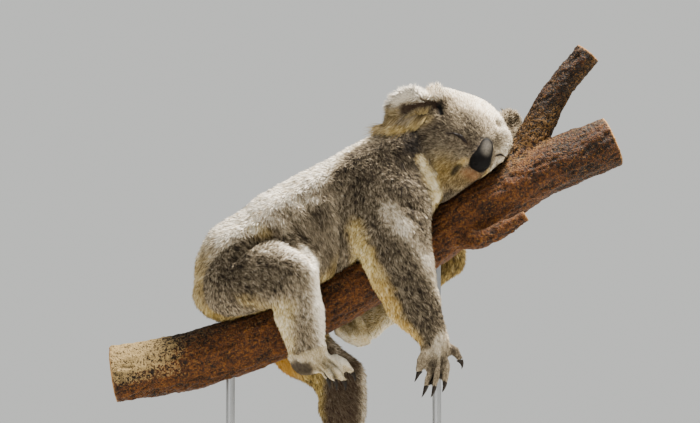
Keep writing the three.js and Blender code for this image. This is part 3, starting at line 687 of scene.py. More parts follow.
trunk = over("chest", "abdomen", "pelvis", "neck")
spine_way = unit(centre("pelvis") - centre("chest"))
side = fade(np.abs(skin_normals[:, 1]), 0.35, 0.85)[:, None]
tail_end = fade(-skin.points[:, 0], 0.11, 0.19)[:, None]
trunk_lie = spine_way * (1 - side) + FLANK_LIE * side
trunk_lie = trunk_lie * (1 - tail_end) + np.array([0.05, 0.0, -1.0]) * tail_end
lie = np.where(trunk[:, None], trunk_lie, lie)
back_from_nose = unit(face_place - np.array([0.075, 0.0, -0.01])) @ head_axes.T
lie = np.where(on_head[:, None], back_from_nose + np.array([0, 0, -0.25]), lie)
for name in ("ear_right", "ear_left"):
    here = owner_names == name
    outward = unit(skin.points[here] - (centre(name) * 0.75 + centre("head") * 0.25))
    lie[here] = outward + np.array([0, 0, -0.25])
lie = skin.smoothed(unit(lie), 14)
lie = unit(lie - skin_normals * (lie * skin_normals).sum(axis=1, keepdims=True))

# Markings, each from 0 to 1: how pale the grey is, how flecked, and where it is cream, gold, brown, pink
# or black. They follow the broad shape of the body, not its small bumps. The paleness also carries painted
# sunlight on the sides that face up and to the right. The paleness, brown and black carry painted shade in
# creases, hollows and under the jaw.
x, y, z = skin.points.T
nx, ny, nz = unit(skin.smoothed(skin_normals, 30)).T
wander = cloud(skin.points, 0.016, 22)
ragged = skin.points + 0.004 * clouds(skin.points, 0.009, 24)
facing = fade(0.45 - ny, 0.0, 0.3)  # skin that looks to the right-hand side


def on_side(start, end, radius, soft=1.0):
    """A mark on the right-hand side, from one (x, z) place to another."""
    return facing * beside(ragged * [1, 0, 1], from_right(start), from_right(end), radius, soft)


def on_face(start, end, radius, soft=1.0):
    """A mark on both sides of the face, from one (left, up) place to another."""
    front = on_head * fade(face_place[:, 0], 0.005, 0.02)
    return front * beside(mirrored * [0, 1, 1], (0, *start), (0, *end), radius, soft)


arm_right = over("upper_arm_right", "forearm_right")
leg_right = over("thigh_right", "shank_right")
arm_left = over("upper_arm_left", "forearm_left", "hand_left")
leg_left = over("thigh_left", "shank_left")
ears = kinds == "ear"
near_ear_hair = ears * (x < 0.2)
flank_place = np.stack([x * 0.88 + z * 0.48, y * 0.3, (z * 0.88 - x * 0.48) * 0.22], axis=1)
streaks = cloud(flank_place, 0.013, 23)
flank = trunk * fade(0.55 - nz, 0.0, 0.4)
flank = flank * fade(x, -0.13, -0.06) * (1 - fade(x, 0.02, 0.05))
lit = 0.8 * nz + 0.6 * nx + 0.1 * wander  # the sides that face up and to the right, where sunlight is painted paler
towards_neck = fade(x, -0.03, 0.06)  # where the painted sunlit strip of the back narrows
# Painted sunlight along the upward-facing top of the back.
painted_sunlit_back = trunk * fade(
    nz - 0.1 * nx + 0.14 * wander, 0.06 + 0.74 * towards_neck, 0.68 + 0.36 * towards_neck)
under_ear = on_side((0.122, 0.6), (0.166, 0.612), 0.018)  # light hair behind the ear's lower edge
hip_tuft = on_side((-0.112, 0.438), (-0.092, 0.432), 0.018)  # longer hair in the crease of the hip

pale = np.full(len(x), 0.29)
# Painted sunlight on the back, weaker over the rump.
pale += 0.62 * painted_sunlit_back * (1 - 0.55 * fade(-x, 0.15, 0.19))
pale += (0.17 + 0.14 * streaks) * flank
pale -= 0.22 * on_side((0.148, 0.58), (0.122, 0.56), 0.02) * ~ears  # painted shadow on the neck under the ear, behind the cheek
pale += 0.2 * under_ear * ~ears
# Painted sunlight on the sides of the arm that face up and to the right.
pale += 0.22 * arm_right * fade(lit, 0.5, 0.95)
pale += 0.06 * over("upper_arm_right")
# Painted sunlight on a patch that runs from the shoulder down the front of the arm.
pale += 0.4 * arm_right * on_side((0.1, 0.466), (0.12, 0.438), 0.027)
pale += 0.34 * arm_right * on_side((0.12, 0.438), (0.152, 0.392), 0.022)
pale += 0.3 * arm_right * on_side((0.158, 0.385), (0.182, 0.33), 0.022)
# The leg is a little paler all over, with painted sunlight on its upper and right-hand sides.
pale += leg_right * (0.06 + 0.52 * fade(lit, 0.05, 0.7) * fade(x, -0.135, -0.095))
pale += 0.12 * over("shank_right")
pale += 0.22 * leg_right * on_side((-0.016, 0.33), (0.0, 0.25), 0.024)  # painted sunlight on the front of the shin
# The feet are pale, with painted sunlight on their upper sides.
pale += feet * (0.42 + 0.3 * fade(nz, 0.0, 0.6))
pale += 0.16 * hands + 0.5 * on_side((0.178, 0.266), (0.172, 0.243), 0.021)  # hands a little paler, and painted sunlight on the back of the wrist
pale += 0.05 * hands * digits
pale -= 0.16 * hands * fade(x, 0.192, 0.2)
# Painted sunlight on the top and right-hand side of the head.
pale += 0.47 * on_head * fade(nz + 0.45 * nx, 0.12, 0.9)
pale += 0.09 * on_head * (1 - fade(nz, 0.0, 0.4))
# Painted sunlight on the far cheek.
pale += 0.46 * on_head * beside(face_place, (0.045, 0.05, -0.01), (0.045, 0.055, -0.04), 0.034, 0.8)
pale += 0.1 * on_face((0.04, -0.034), (0.052, -0.045), 0.024)
# Painted shade on the underside of the jaw.
pale -= 0.14 * on_head * fade(-nz, 0.4, 0.9) * fade(x, 0.17, 0.2)
pale += 0.1 * ears * (x > 0.2) + 0.66 * near_ear_hair * (1 - ear_band) * fade(z, 0.622, 0.646)
pale += 0.22 * near_ear_hair * (1 - fade(z, 0.622, 0.646))
# Painted shade in the grooves between the fingers and toes.
pale -= 0.16 * groove
# Painted shade in the creases of the folds, deeper where the fold is deeper.
for start, end, depth, width in FOLDS:
    pale -= (0.04 + 14 * depth) * beside(skin.points, start, end, width * 1.2, 0.9)
pale += 0.05 * cloud(skin.points, 0.028, 21)

fleck = np.full(len(x), 0.52)
fleck += 0.06 * painted_sunlit_back - 0.12 * on_head - 0.1 * flank
fleck += 0.12 * (leg_right | arm_right)
fleck -= 0.22 * (ears | hands | feet)

cream = 0.85 * fade(ny + 0.2 * wander, 0.05, 0.5) * (arm_right | leg_right)
cream += 0.85 * fade(-nz, 0.35, 0.9) * trunk
arm_strip = on_side((0.048, 0.438), (0.062, 0.394), 0.025, 1.0)
arm_strip += on_side((0.06, 0.394), (0.1, 0.314), 0.024, 0.7)
arm_strip += on_side((0.1, 0.314), (0.142, 0.258), 0.018, 0.7)
arm_strip = np.clip(arm_strip, 0, 1) * (arm_right | hands | trunk) * (y < 0)
ruff = beside(ragged, (0.15, -0.075, 0.553), (0.16, -0.068, 0.519), 0.014, 0.7)
ruff = np.maximum(ruff, beside(ragged, (0.16, -0.068, 0.519), (0.176, -0.057, 0.487), 0.02, 0.7))
jaw = on_head * beside(ragged, (0.196, -0.07, 0.52), (0.232, -0.065, 0.5), 0.04, 0.9)
rump_edge = fade(-x + 0.006 * wander, 0.158, 0.2) * trunk * fade(0.6 - nz, 0, 0.4)
leg_cream = leg_left * facing * fade(-x + 0.005 * wander, -0.004, 0.006)
leg_dark = leg_left * facing * fade(x + 0.006 * wander, -0.01, 0.004)
# Painted rim light along the right-hand edge of the left leg.
painted_leg_rim_light = leg_dark * fade(nx + 0.12 * wander, 0.4, 0.95)
ear_hair = near_ear_hair * (z < 0.628) * (1 - ear_band)
shank_cream = leg_right * on_side((-0.066, 0.225), (-0.062, 0.31), 0.026, 0.8)
mouth_corner = on_face((0.022, -0.041), (0.024, -0.048), 0.008, 1.0)
arm_edge = arm_left * fade(-nz, 0.1, 0.7) * fade(0.35 - z, 0.0, 0.03)
thigh_edge = leg_right * on_side((-0.131, 0.327), (-0.08, 0.312), 0.015, 0.9)
cream += arm_strip + ruff + 0.5 * jaw + 0.6 * rump_edge + 0.5 * thigh_edge + leg_cream
cream += 0.45 * ear_hair + 0.8 * shank_cream + 0.5 * under_ear + 0.6 * hip_tuft
cream += 0.35 * feet + 0.45 * on_face((0.045, -0.06), (0.05, -0.08), 0.035, 0.9) + 0.8 * mouth_corner
cream += arm_left * (0.15 + 0.4 * facing + 0.3 * fade(x, 0.15, 0.19) * facing)
cream = np.clip(cream, 0, 1)
pale += 0.26 * arm_strip + 0.5 * ruff + 0.1 * jaw + 0.16 * rump_edge + 0.16 * leg_cream
pale += 0.22 * mouth_corner + 0.05 * thigh_edge + 0.12 * hip_tuft
pale += 0.24 * shank_cream + 0.1 * leg_dark + 0.27 * painted_leg_rim_light
pale += arm_left * (0.3 - 0.22 * fade(x, 0.15, 0.19)) + 0.3 * arm_edge
pale += 0.12 * leg_left * (1 - facing)
gold = leg_left * facing * fade(-x, 0.028, 0.062)
gold += 0.25 * arm_strip * fade(0.4 - z, 0.0, 0.08)
gold += 0.1 * jaw + 0.05 * rump_edge + 0.03 * ear_hair + 0.3 * mouth_corner
gold = np.clip(gold, 0, 1)

# Painted shade, brown in the near ear's hollow and faint on the far ear.
brown = ear_band * near_ear * np.where(x < 0.2, 1.0, 0.25)
# Painted shade in the crease along the inner half of each closed eye.
brown += 0.5 * beside(mirrored, EYE_IN, EYE_TOP, 0.008, 1.0) * on_head
brown += 0.3 * on_face((0.04, -0.024), (0.044, -0.025), 0.012, 0.8)
brown += 0.25 * on_side((-0.108, 0.43), (-0.084, 0.436), 0.02) * trunk
brown += 0.74 * leg_dark * (1 - painted_leg_rim_light)
brown += 0.45 * arm_left * facing * fade(streaks, -0.1, 0.6) * (1 - fade(x, 0.16, 0.18))
brown += 0.95 * on_side((-0.046, 0.221), (-0.028, 0.214), 0.015, 0.6) * (y < 0)  # the heel's pad
brown = np.clip(brown, 0, 1)

# Painted shade, black in the near ear's opening and deepest in its hollow.
black = (1.0 * ear_opening + 0.25 * ear_band ** 2) * near_ear * (x < 0.2)
black += 0.85 * on_face((0.024, -0.05), (0.024, -0.064), 0.006, 0.8)
# Painted shadow along the top edge of the nose.
black += 0.8 * on_face((0.0, 0.005), (0.01, 0.001), 0.0045, 0.8)
# Painted shade, black in the grooves between the fingers and toes.
black += 0.36 * groove * hands + 0.7 * groove * feet
black += 0.5 * on_side((-0.044, 0.22), (-0.03, 0.215), 0.012, 0.6) * (y < 0)
black = np.clip(black, 0, 1)
pink = 0.6 * on_face((0.0, -0.057), (0.012, -0.057), 0.0115, 1.0)

pale = np.minimum(pale, 0.84 + 0.1 * (on_head | feet | near_ear_hair | leg_right))
marks = {"pale": pale, "fleck": fleck, "cream": cream, "gold": gold, "brown": brown, "black": black,
         "pink": pink}

GREY_HAIR = ((0.0, "#120D09"), (0.22, "#3F3428"), (0.45, "#82745E"), (0.68, "#C2B195"), (1.0, "#FFF6E6"))
CREAM_HAIR = ((0.0, "#241A08"), (0.28, "#6C5526"), (0.52, "#B6994E"), (0.78, "#E4CF92"), (1.0, "#FAF2DA"))
GOLD_HAIR = "#C48A1C"
# Brown and black of the fur and skin, which also carry painted shade in hollows and creases.
BROWN_AND_PAINTED_SHADE = "#382011"
BLACK_AND_PAINTED_SHADE = "#060403"
LIP_PINK = "#94673F"
FLECK_SIZE = 0.0058
TICK_SIZE = 0.0026  # size of the finest light and dark ticks


def coat_paint(name, of_hair):
    """The coat's markings. On hair, each tuft has its own shade and is darker at its root."""
    paint = Paint(name, Roughness=0.78, Specular_IOR_Level=0.25)
    root = paint.mark("root", "Vector") if of_hair else paint.place()
    flecks = paint.noise(root, FLECK_SIZE, 1.5, 0.55)
    ticks = paint.noise(root, TICK_SIZE, 1.0, 0.5)
    patches = paint.noise(root, 0.035, 2.0)
    ticked = (flecks - 0.5) * 1.35 + (ticks - 0.5) * 1.25
    tone = paint.mark("pale") + ticked * paint.mark("fleck") + (patches - 0.5) * 0.2
    if of_hair:
        tone = tone + (paint.mark("shade") - 0.5) * (0.22 + paint.mark("fleck") * 0.26)
        tone = tone + (paint.mark("tip") - 0.6) * 0.24
    else:
        tone = tone - 0.1
    creamy = paint.mix(paint.ramp(tone, *CREAM_HAIR), GOLD_HAIR, paint.mark("gold") * 0.8)
    creamed = paint.mark("cream") * (0.7 + flecks * 0.4)
    colour = paint.mix(paint.ramp(tone, *GREY_HAIR), creamy, creamed)
    colour = paint.mix(colour, BROWN_AND_PAINTED_SHADE, paint.mark("brown") * (0.6 + flecks * 0.5))
    colour = paint.mix(colour, LIP_PINK, paint.mark("pink"))
    colour = paint.mix(colour, BLACK_AND_PAINTED_SHADE, paint.mark("black"))
    if of_hair:
        depth = 0.5 + paint.mark("tip") * 0.5
        colour = paint.mix("#000000", colour, depth.between(0.0, 1.0))
    paint.feed("Base Color", colour)
    paint.feed("Roughness", 0.68 + patches * 0.2)
    if not of_hair:
        paint.bump(flecks + paint.noise(root, 0.0012, 2.0) * 0.5, 0.0007)
    return paint


skin_piece = new_piece("skin", skin.points, skin.quads)
add_marks(skin_piece, **marks)
coat_paint("skin_under_coat", False).on(skin_piece)
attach(skin_piece, "root")
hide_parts(*flesh)


# ---------------------------------------------------------------- coat
# Dense woolly hair in fine pointed tufts, each rooted in the skin and lying the way the coat
# grows. One piece for each part of the body.
TUFT_PATCH = 0.003  # each tuft's size on its piece's unwrap
TUFT_ROOT = 0.0006  # how far each tuft's base is sunk in the skin
COAT_PIECES = {  # the solids whose skin each piece covers, and its number of tufts
    "coat_rump": (["pelvis"], 35000),
    "coat_loin": (["abdomen"], 34000),
    "coat_chest": (["chest", "neck"], 49000),
    "coat_head": (["head", "eye_right", "eye_left", "nose"], 49000),
    "coat_ears": (["ear_right", "ear_left"], 27000),
    "coat_right_arm": (["upper_arm_right", "forearm_right", "hand_right"], 49000),
    "coat_left_arm": (["upper_arm_left", "forearm_left", "hand_left"], 25000),
    "coat_right_leg": (["thigh_right", "shank_right", "foot_right"], 49000),
    "coat_left_leg": (["thigh_left", "shank_left", "foot_left"], 29000),
}


def unwrapped(quads):
    """Places of the corners of some of the skin's quads on an unwrap of their own shape."""
    used, local = np.unique(quads, return_inverse=True)
    piece = new_piece("unwrap", skin.points[used], local.reshape(-1, 4))
    piece.data.uv_layers.new(name="flat")
    bpy.context.view_layer.objects.active = piece
    piece.select_set(True)
    bpy.ops.object.mode_set(mode="EDIT")
    bpy.ops.mesh.select_all(action="SELECT")
    bpy.ops.uv.smart_project(angle_limit=math.radians(66), island_margin=0.004)
    bpy.ops.object.mode_set(mode="OBJECT")
    flat = np.empty(quads.size * 2)
    piece.data.uv_layers[0].data.foreach_get("uv", flat)
    bpy.data.objects.remove(piece)
    return flat.reshape(-1, 4, 2)


def shared(shares, values):
    """Values at roots, from each root's share of the corners round it and the corners' values."""
    return np.einsum("nc,nc...->n...", shares, values)


def hair_piece(name, points, order, patch, grade, spot, shade, root_marks):
    """One piece of coat from the points of each hair. Its faces are in order, patch is the
    hair's place about its spot on the unwrap, and grade runs from 0 at the root to 1."""
    count, per_hair = points.shape[:2]
    faces = (np.arange(count)[:, None, None] * per_hair + order).reshape(-1, 3)
    spot = np.clip(spot, TUFT_PATCH / 2, 1 - TUFT_PATCH / 2)
    uvs = (spot[:, None, :] + patch)[np.arange(count)[:, None, None], order]
    piece = new_piece(name, points.reshape(-1, 3), faces, uvs.reshape(-1, 2))
    root_marks["shade"] = shade
    add_marks(piece, **{mark: np.repeat(values, per_hair, axis=0)
                        for mark, values in root_marks.items()})
    add_marks(piece, tip=np.tile(grade, count))
    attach(piece, "root")
    hair_paint.on(piece)
    return piece


def tufts(name, quads, count, seed):
    """One piece of coat: count closed slivers over the given quads of the skin."""
    random = np.random.default_rng(seed)
    flat = unwrapped(quads)
    corners = np.concatenate([quads[:, [0, 1, 2]], quads[:, [0, 2, 3]]])
    flats = np.concatenate([flat[:, [0, 1, 2]], flat[:, [0, 2, 3]]])
    a, b, c = (skin.points[corners[:, i]] for i in range(3))
    area = np.linalg.norm(np.cross(b - a, c - a), axis=1) / 2
    weight = np.cumsum(area * hair["density"][corners].mean(axis=1))
    spots = (np.arange(count) + random.random(count)) / count * weight[-1]
    chosen = np.minimum(np.searchsorted(weight, spots), len(weight) - 1)
    s, t = random.random((2, count))
    s, t = np.where(s + t > 1, 1 - s, s), np.where(s + t > 1, 1 - t, t)
    shares = np.stack([1 - s - t, s, t], axis=1)

    def at_roots(values):
        return shared(shares, values[corners[chosen]])

    root = at_roots(skin.points)
    normal = unit(at_roots(skin_normals))
    way = at_roots(lie)
    swirl = clouds(root, 0.011, seed) + 0.6 * clouds(root, 0.0045, seed + 5)
    way = way + 0.42 * swirl + 0.16 * random.normal(size=root.shape)
    way = unit(way - normal * (way * normal).sum(axis=1, keepdims=True))
    length = at_roots(hair["length"]) * random.uniform(0.65, 1.25, count)
    rise = np.clip(at_roots(hair["height"] / hair["length"]) * random.uniform(0.6, 1.35, count), 0.05, 0.9)
    width = at_roots(hair["width"]) * random.uniform(0.7, 1.3, count)
    run = np.sqrt(1 - rise ** 2)
    aim = way * run[:, None] + normal * rise[:, None]
    across = unit(np.cross(normal, way))
    base = root - normal * TUFT_ROOT
    ridge = root + aim * (0.42 * length)[:, None] + normal * (0.35 * width + 0.06 * length)[:, None]
    tip = root + aim * length[:, None]
    points = np.stack([
        base - across * width[:, None] / 2, base + across * width[:, None] / 2, ridge, tip], axis=1)
    order = np.array([[1, 2, 3], [0, 3, 2], [0, 2, 1], [0, 1, 3]])
    patch = TUFT_PATCH * np.array([[-0.5, -0.5], [0.5, -0.5], [0.0, 0.0], [0.0, 0.5]])
    lean = 0.45 * across
    looks = np.stack([normal - lean, normal + lean, normal, normal + 0.35 * way], axis=1)
    looks = unit(looks + 0.3 * random.normal(size=root.shape)[:, None, :])
    root_marks = {mark: at_roots(values) for mark, values in marks.items()}
    root_marks["root"] = root
    piece = hair_piece(name, points, order, patch, [0.0, 0.0, 0.55, 1.0],
                       shared(shares, flats[chosen]), random.random(count), root_marks)
    piece.data.normals_split_custom_set_from_vertices(looks.reshape(-1, 3))


hair_paint = coat_paint("koala_hair", True)
quad_owner = owner_names[skin.quads[:, 0]]
for number, (name, (solids_under, count)) in enumerate(COAT_PIECES.items()):
    tufts(name, skin.quads[np.isin(quad_owner, solids_under)], count, 100 + 20 * number)


# ---------------------------------------------------------------- long locks
# Longer, softer hair in curved locks: the near ear's fringe, lower edge and rim, the crown
# beside it, the far ear, and the ruff that runs from the ear to the throat.
LOCK_STEPS = 3
LOCK_SIDES = 3
LOCK_ROOT = 0.001
LOCK_DROOP = (0.0, 0.0, 0.16)  # how far a lock's tip hangs, for each metre of its length
EAR_FAN = np.array([0.182, -0.03, 0.642])  # the near ear's hair fans out from here
CROWN_PALE = 0.72  # the locks of the crown are at least this pale
LOCKS = {  # where each kind is rooted, the way it grows, its length and width, and its number
    "locks_ear_fringe": (
        ears & (x > 0.112) & (x < 0.2) & (z < 0.625) & (ny < 0.3),
        (-0.3, -0.25, -0.55), 0.029, 0.0014, 1900),
    "locks_low_ear": (ears & (x < 0.168) & (z < 0.608), (-0.7, -0.35, -0.4), 0.032, 0.0013, 500),
    "locks_ear_rim": (ears & (x < 0.165) & (z > 0.638), (-0.25, -0.3, -0.05), 0.012, 0.0012, 1500),
    "locks_crown": (
        (beside(flat_side, (0.158, 0, 0.649), (0.18, 0, 0.65), 0.013) > 0.05) & (y < 0.02),
        (-0.16, -0.1, 1.0), 0.019, 0.0014, 1500),
    "locks_far_ear": (ears & (x > 0.2), (0.35, -0.1, 0.25), 0.011, 0.0012, 700),
    "locks_ruff": (
        beside(skin.points, (0.15, -0.073, 0.558), (0.172, -0.058, 0.5), 0.014) > 0.15,
        (0.34, -0.2, -0.92), 0.012, 0.0013, 1500),
}


def locks(name, rooted, way, length, width, count, seed):
    """One piece of long locks, each a closed three-sided strand that curves down to its tip."""
    random = np.random.default_rng(seed)
    quads = skin.quads[rooted[skin.quads].all(axis=1)]
    flat = unwrapped(quads)
    a, b, c, d = (skin.points[quads[:, i]] for i in range(4))
    area = np.linalg.norm(np.cross(c - a, d - b), axis=1)
    chosen = random.choice(len(quads), count, p=area / area.sum())
    shares = random.dirichlet([1, 1, 1, 1], count)
    root = shared(shares, skin.points[quads[chosen]])
    normal = unit(shared(shares, skin_normals[quads[chosen]]))
    swirl = clouds(root, 0.014, seed)
    aim = unit(way) + 0.4 * normal + 0.3 * swirl
    if name.startswith("locks_ear"):
        aim = aim + 0.9 * unit(root - EAR_FAN)
    aim = unit(aim + 0.13 * random.normal(size=root.shape))
    reach = length * random.uniform(0.55, 1.2, count)[:, None]
    wide = width * random.uniform(0.7, 1.3, count)[:, None]
    across = unit(np.cross(normal, aim) + 1e-6)
    outward = np.cross(aim, across)
    steps = np.linspace(0, 1, LOCK_STEPS + 1)[:-1]
    rings = []
    for step in steps:
        middle = root - normal * LOCK_ROOT + aim * reach * step - np.array(LOCK_DROOP) * reach * step ** 2
        middle = middle + across * (0.1 * math.sin(3 * step)) * reach * swirl[:, :1]
        thick = wide * (1 - 0.55 * step ** 1.5) / 2
        for side in range(LOCK_SIDES):
            turn = 2 * math.pi * side / LOCK_SIDES + math.pi / 2
            rings.append(middle + across * math.cos(turn) * thick + outward * math.sin(turn) * 0.6 * thick)
    tip = root + aim * reach - np.array(LOCK_DROOP) * reach
    order = []
    for first in range(0, (LOCK_STEPS - 1) * LOCK_SIDES, LOCK_SIDES):
        for side in range(LOCK_SIDES):
            a, b = first + side, first + (side + 1) % LOCK_SIDES
            order += [[a, b, b + LOCK_SIDES], [a, b + LOCK_SIDES, a + LOCK_SIDES]]
    last = (LOCK_STEPS - 1) * LOCK_SIDES
    order += [[last + side, last + (side + 1) % LOCK_SIDES, LOCK_STEPS * LOCK_SIDES]
              for side in range(LOCK_SIDES)]
    order.append([2, 1, 0])
    grade = np.append(np.repeat(steps, LOCK_SIDES), 1.0)
    spread = np.tile([0.0, 1.0, 0.5], LOCK_STEPS + 1)[:len(grade)]
    patch = (np.stack([spread, grade], axis=1) - 0.5) * TUFT_PATCH
    root_marks = {mark: shared(shares, values[quads[chosen]]) for mark, values in marks.items()}
    for mark in ("black", "brown"):
        root_marks[mark] *= 0.0 if name == "locks_crown" else 0.25
    if name == "locks_crown":
        root_marks["pale"] = np.maximum(root_marks["pale"], CROWN_PALE)
    root_marks["root"] = root
    hair_piece(name, np.stack(rings + [tip], axis=1), np.array(order), patch, grade,
               shared(shares, flat[chosen]), random.random(count), root_marks)


for number, (name, settings) in enumerate(LOCKS.items()):
    locks(name, *settings, 500 + 10 * number)


# ---------------------------------------------------------------- nose
# The bare leathery pad, black and slightly glossy, long and rounded, with two comma-shaped nostrils low at
# the sides and a painted highlight on its upper front.
NOSE_CELL = 0.0009
NOSE_BLACK = "#040303"
NOSE_GREY = "#0D0B0A"
NOSE_PAINTED_SHEEN = "#6C665D"  # painted highlight on the upper front of the pad
PAINTED_SHEEN_PLACE = ((0.076, FACE_MIDDLE - 0.003, -0.008), (0.08, FACE_MIDDLE - 0.003, -0.017))
NOSTRIL_IN = (0.072, 0.0085, -0.04)
NOSTRIL_OUT = (0.066, 0.0135, -0.033)

nose = Net(*remeshed(["nose"], NOSE_CELL)).largest()
nose.points = nose.smoothed(nose.points, 40)
nose_place = in_head(nose.points)
pinch = 0.09 + 0.09 * fade(nose_place[:, 2], -0.035, -0.005)
nose_place[:, 1] -= (nose_place[:, 1] - FACE_MIDDLE) * pinch
nose.points = to_world(nose_place)
nose_mirrored = folded(nose_place)
nostril = beside(nose_mirrored, NOSTRIL_IN, NOSTRIL_OUT, 0.0042, 0.9)
cleft = beside(nose_mirrored, (0.08, 0.0, -0.04), (0.068, 0.0, -0.056), 0.0022, 1.0)
worn = beside(nose_place, *PAINTED_SHEEN_PLACE, 0.012, 1.0)
nose_relief = 0.0012 - 0.0042 * nostril - 0.0012 * cleft + 0.00008 * cloud(nose.points, 0.0016, 31)
nose.points = nose.points + nose.normals() * nose_relief[:, None]
nose_piece = new_piece("nose_pad", nose.points, nose.quads)
add_marks(nose_piece, nostril=nostril, worn=worn)
nose_paint = Paint("nose_leather", Roughness=0.42, Specular_IOR_Level=0.07)
pebbles = nose_paint.node("ShaderNodeTexVoronoi", {}, {"Vector": nose_paint.place(), "Scale": 900.0})
nose_tone = nose_paint.noise(nose_paint.place(), 0.008)
nose_colour = nose_paint.mix(NOSE_BLACK, NOSE_GREY, nose_tone * 0.7 + pebbles * 0.3)
# A painted highlight on the upper front of the pad, broken by the pebbly grain.
sheen_share = nose_paint.mark("worn") * (pebbles * 0.5 + nose_tone * 0.7 - 0.05)
nose_colour = nose_paint.mix(nose_colour, NOSE_PAINTED_SHEEN, sheen_share)
nose_paint.feed("Base Color", nose_paint.mix(nose_colour, NOSE_BLACK, nose_paint.mark("nostril")))
nose_paint.feed("Roughness", 0.52 + nose_tone * 0.2)
nose_paint.bump(pebbles, 0.00025)
nose_paint.on(nose_piece)
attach(nose_piece, "root")
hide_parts("nose")


# ---------------------------------------------------------------- eyelid edges
# Both eyes are shut. The dark moist edges of the lids meet in a thin line that dips towards
# the nose, thickest over its inner half.
LID_BLACK = "#0A0604"
LID_BROWN = "#24150C"
LID_SIDES = 8
LID_STEPS = 26
LID_RAISED = 0.0022
LID_THICK = 0.0033

surface = BVHTree.FromPolygons([Vector(p) for p in skin.points], [tuple(q) for q in skin.quads])
lid_paint = Paint("lid_edge", Roughness=0.5, Specular_IOR_Level=0.15)
lid_tone = lid_paint.noise(lid_paint.place(), 0.002)
lid_paint.feed("Base Color", lid_paint.mix(LID_BLACK, LID_BROWN, lid_tone * 0.6))
lid_paint.bump(lid_tone, 0.0002)
grade = np.linspace(0, 1, LID_STEPS)
swelling = np.sin(np.pi * grade.clip(0.03, 0.97)) ** 0.5 * (1.05 - 0.6 * fade(grade, 0.3, 0.8))
angle = (np.arange(LID_SIDES) * 2 * math.pi / LID_SIDES)[:, None]
for name, sign, thickest in (("right", -1, LID_THICK), ("left", 1, 0.5 * LID_THICK)):
    middles = []
    outs = []
    corner_in, peak, corner_out = (np.array(p) * [1, sign, 1] + [0, FACE_MIDDLE, 0]
                                   for p in (EYE_IN, EYE_TOP, EYE_OUT))
    pull = 2 * peak - (corner_in + corner_out) / 2
    for step in grade:
        place = (1 - step) ** 2 * corner_in + 2 * step * (1 - step) * pull + step ** 2 * corner_out
        hit = surface.ray_cast(Vector(to_world(place + [0.03, 0, 0])), Vector(-forward))
        middles.append(np.array(hit[0]) + np.array(hit[1]) * LID_RAISED)
        outs.append(hit[1])
    outs = unit(outs)
    sides = unit(np.cross(unit(np.gradient(middles, axis=0)), outs))
    thick = (thickest * swelling)[:, None, None]
    points = (np.array(middles)[:, None] + sides[:, None] * (np.cos(angle) * thick)
              + outs[:, None] * (np.sin(angle) * 0.7 * thick))
    ring = np.arange(LID_SIDES)
    next_ring = (ring + 1) % LID_SIDES
    quads = [s * LID_SIDES + np.stack([ring, next_ring, next_ring + LID_SIDES, ring + LID_SIDES], axis=1)
             for s in range(LID_STEPS - 1)]
    lid_piece = new_piece(f"lid_edge_{name}", points.reshape(-1, 3), np.concatenate(quads))
    lid_paint.on(lid_piece)
    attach(lid_piece, "root")


# ---------------------------------------------------------------- claws
# Curved, pointed claws of dark horn, polished by use, with fine paler lines along them. Each claw's root
# runs back into its finger or toe.
HORN_DARK = "#0D0905"
HORN_PALE = "#2A1F14"
CLAW_CELL = 0.0007
CLAW_GROW = 0.0005
CLAW_ROOT = 0.004  # how far each claw runs back into its finger or toe

horn = Paint("claw_horn", Roughness=0.4, Specular_IOR_Level=0.2)
horn_place = horn.place()
horn_lines = horn.noise(horn.stretched(horn_place, (1.0, 1.0, 0.25)), 0.0009, 2.0)
horn.feed("Base Color", horn.mix(HORN_DARK, HORN_PALE, horn_lines.between(0.35, 0.8)))
horn.feed("Roughness", 0.38 + horn_lines * 0.22)
horn.bump(horn_lines, 0.0002)
for limb in ("right_hand", "left_hand", "right_foot", "left_foot"):
    claws = sorted(name for name in nodes if name.startswith(f"claw_{limb}"))
    parts = []
    quads = []
    total = 0
    for name in claws:
        claw = Net(*remeshed([name], CLAW_CELL, CLAW_GROW)).largest()
        claw.points = claw.smoothed(claw.points, 4)
        out = unit(centre(name) - centre("_".join(reversed(limb.split("_")))))
        ahead = (claw.points - centre(name)) @ out
        rooted = 1 - fade(ahead, ahead.min(), ahead.min() + CLAW_ROOT)
        claw.points = claw.points - out * (CLAW_ROOT * rooted)[:, None]
        parts.append(claw.points)
        quads.append(claw.quads + total)
        total += len(claw.points)
    claw_piece = new_piece(f"claws_{limb}", np.concatenate(parts), np.concatenate(quads))
    horn.on(claw_piece)
    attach(claw_piece, "root")
    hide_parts(*claws)


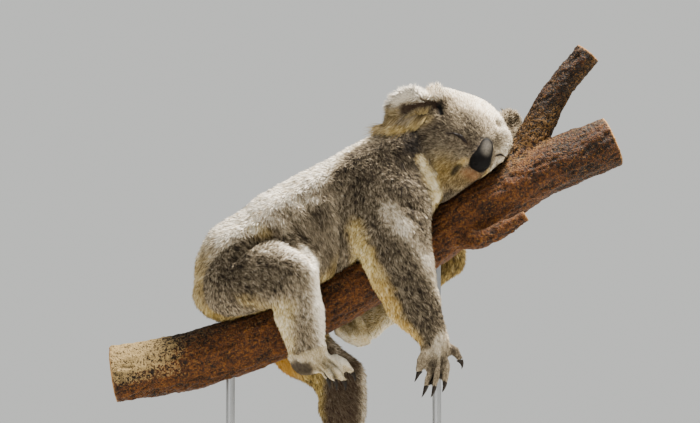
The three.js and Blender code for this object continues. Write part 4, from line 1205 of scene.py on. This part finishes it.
# ---------------------------------------------------------------- studio
# A plain pale floor, a large soft light overhead and a little behind, a weaker one in front,
# and the camera a little above the floor, looking slightly up.
FLOOR_SIZE = 30.0
FLOOR_COLOUR = "#D8D8D4"
FLOOR_SHADE = "#D2D2CE"
BACKDROP = "#DADBD8"
CAMERA_PLACE = (0.04, -3.985, 0.12)
CAMERA_TARGET = (0.04, 0.0, 0.469)
CAMERA_LENS = 128.57
LIGHTS = {  # place, what it points at, size in metres, power in watts, colour
    "overhead": ((0.9, -0.1, 2.6), (0.05, 0.0, 0.45), 0.8, 330.0, (1.0, 0.955, 0.88)),
    "front": ((-1.4, -3.0, 1.5), (0.0, 0.0, 0.4), 2.6, 35.0, (1.0, 0.98, 0.95)),
}

floor_mesh = bmesh.new()
bmesh.ops.create_grid(floor_mesh, x_segments=4, y_segments=4, size=FLOOR_SIZE / 2)
floor_data = bpy.data.meshes.new("floor")
floor_mesh.to_mesh(floor_data)
floor_mesh.free()
floor = placed("floor", floor_data)
floor_paint = Paint("floor", Roughness=0.9)
floor_tone = floor_paint.noise(floor_paint.place(), 0.6, 2.0)
floor_paint.feed("Base Color", floor_paint.mix(FLOOR_COLOUR, FLOOR_SHADE, floor_tone))
floor_paint.on(floor)

world = bpy.data.worlds.new("studio")
world.use_nodes = True
background = world.node_tree.nodes["Background"]
background.inputs["Color"].default_value = rgb(BACKDROP)
background.inputs["Strength"].default_value = 1.0
bpy.context.scene.world = world


def aimed(name, data, place, target):
    """A lamp or camera in the scene, turned towards its target."""
    thing = placed(name, data)
    thing.location = place
    thing.rotation_euler = (Vector(target) - Vector(place)).to_track_quat("-Z", "Y").to_euler()
    return thing


for name, (place, target, size, power, colour) in LIGHTS.items():
    lamp = bpy.data.lights.new(name, "AREA")
    lamp.shape = "DISK"
    lamp.size = size
    lamp.energy = power
    lamp.color = colour
    aimed(name, lamp, place, target)

camera_data = bpy.data.cameras.new("camera")
camera_data.sensor_width = 36.0
camera_data.lens = CAMERA_LENS
camera_data.clip_end = 100.0
bpy.context.scene.camera = aimed("camera", camera_data, CAMERA_PLACE, CAMERA_TARGET)
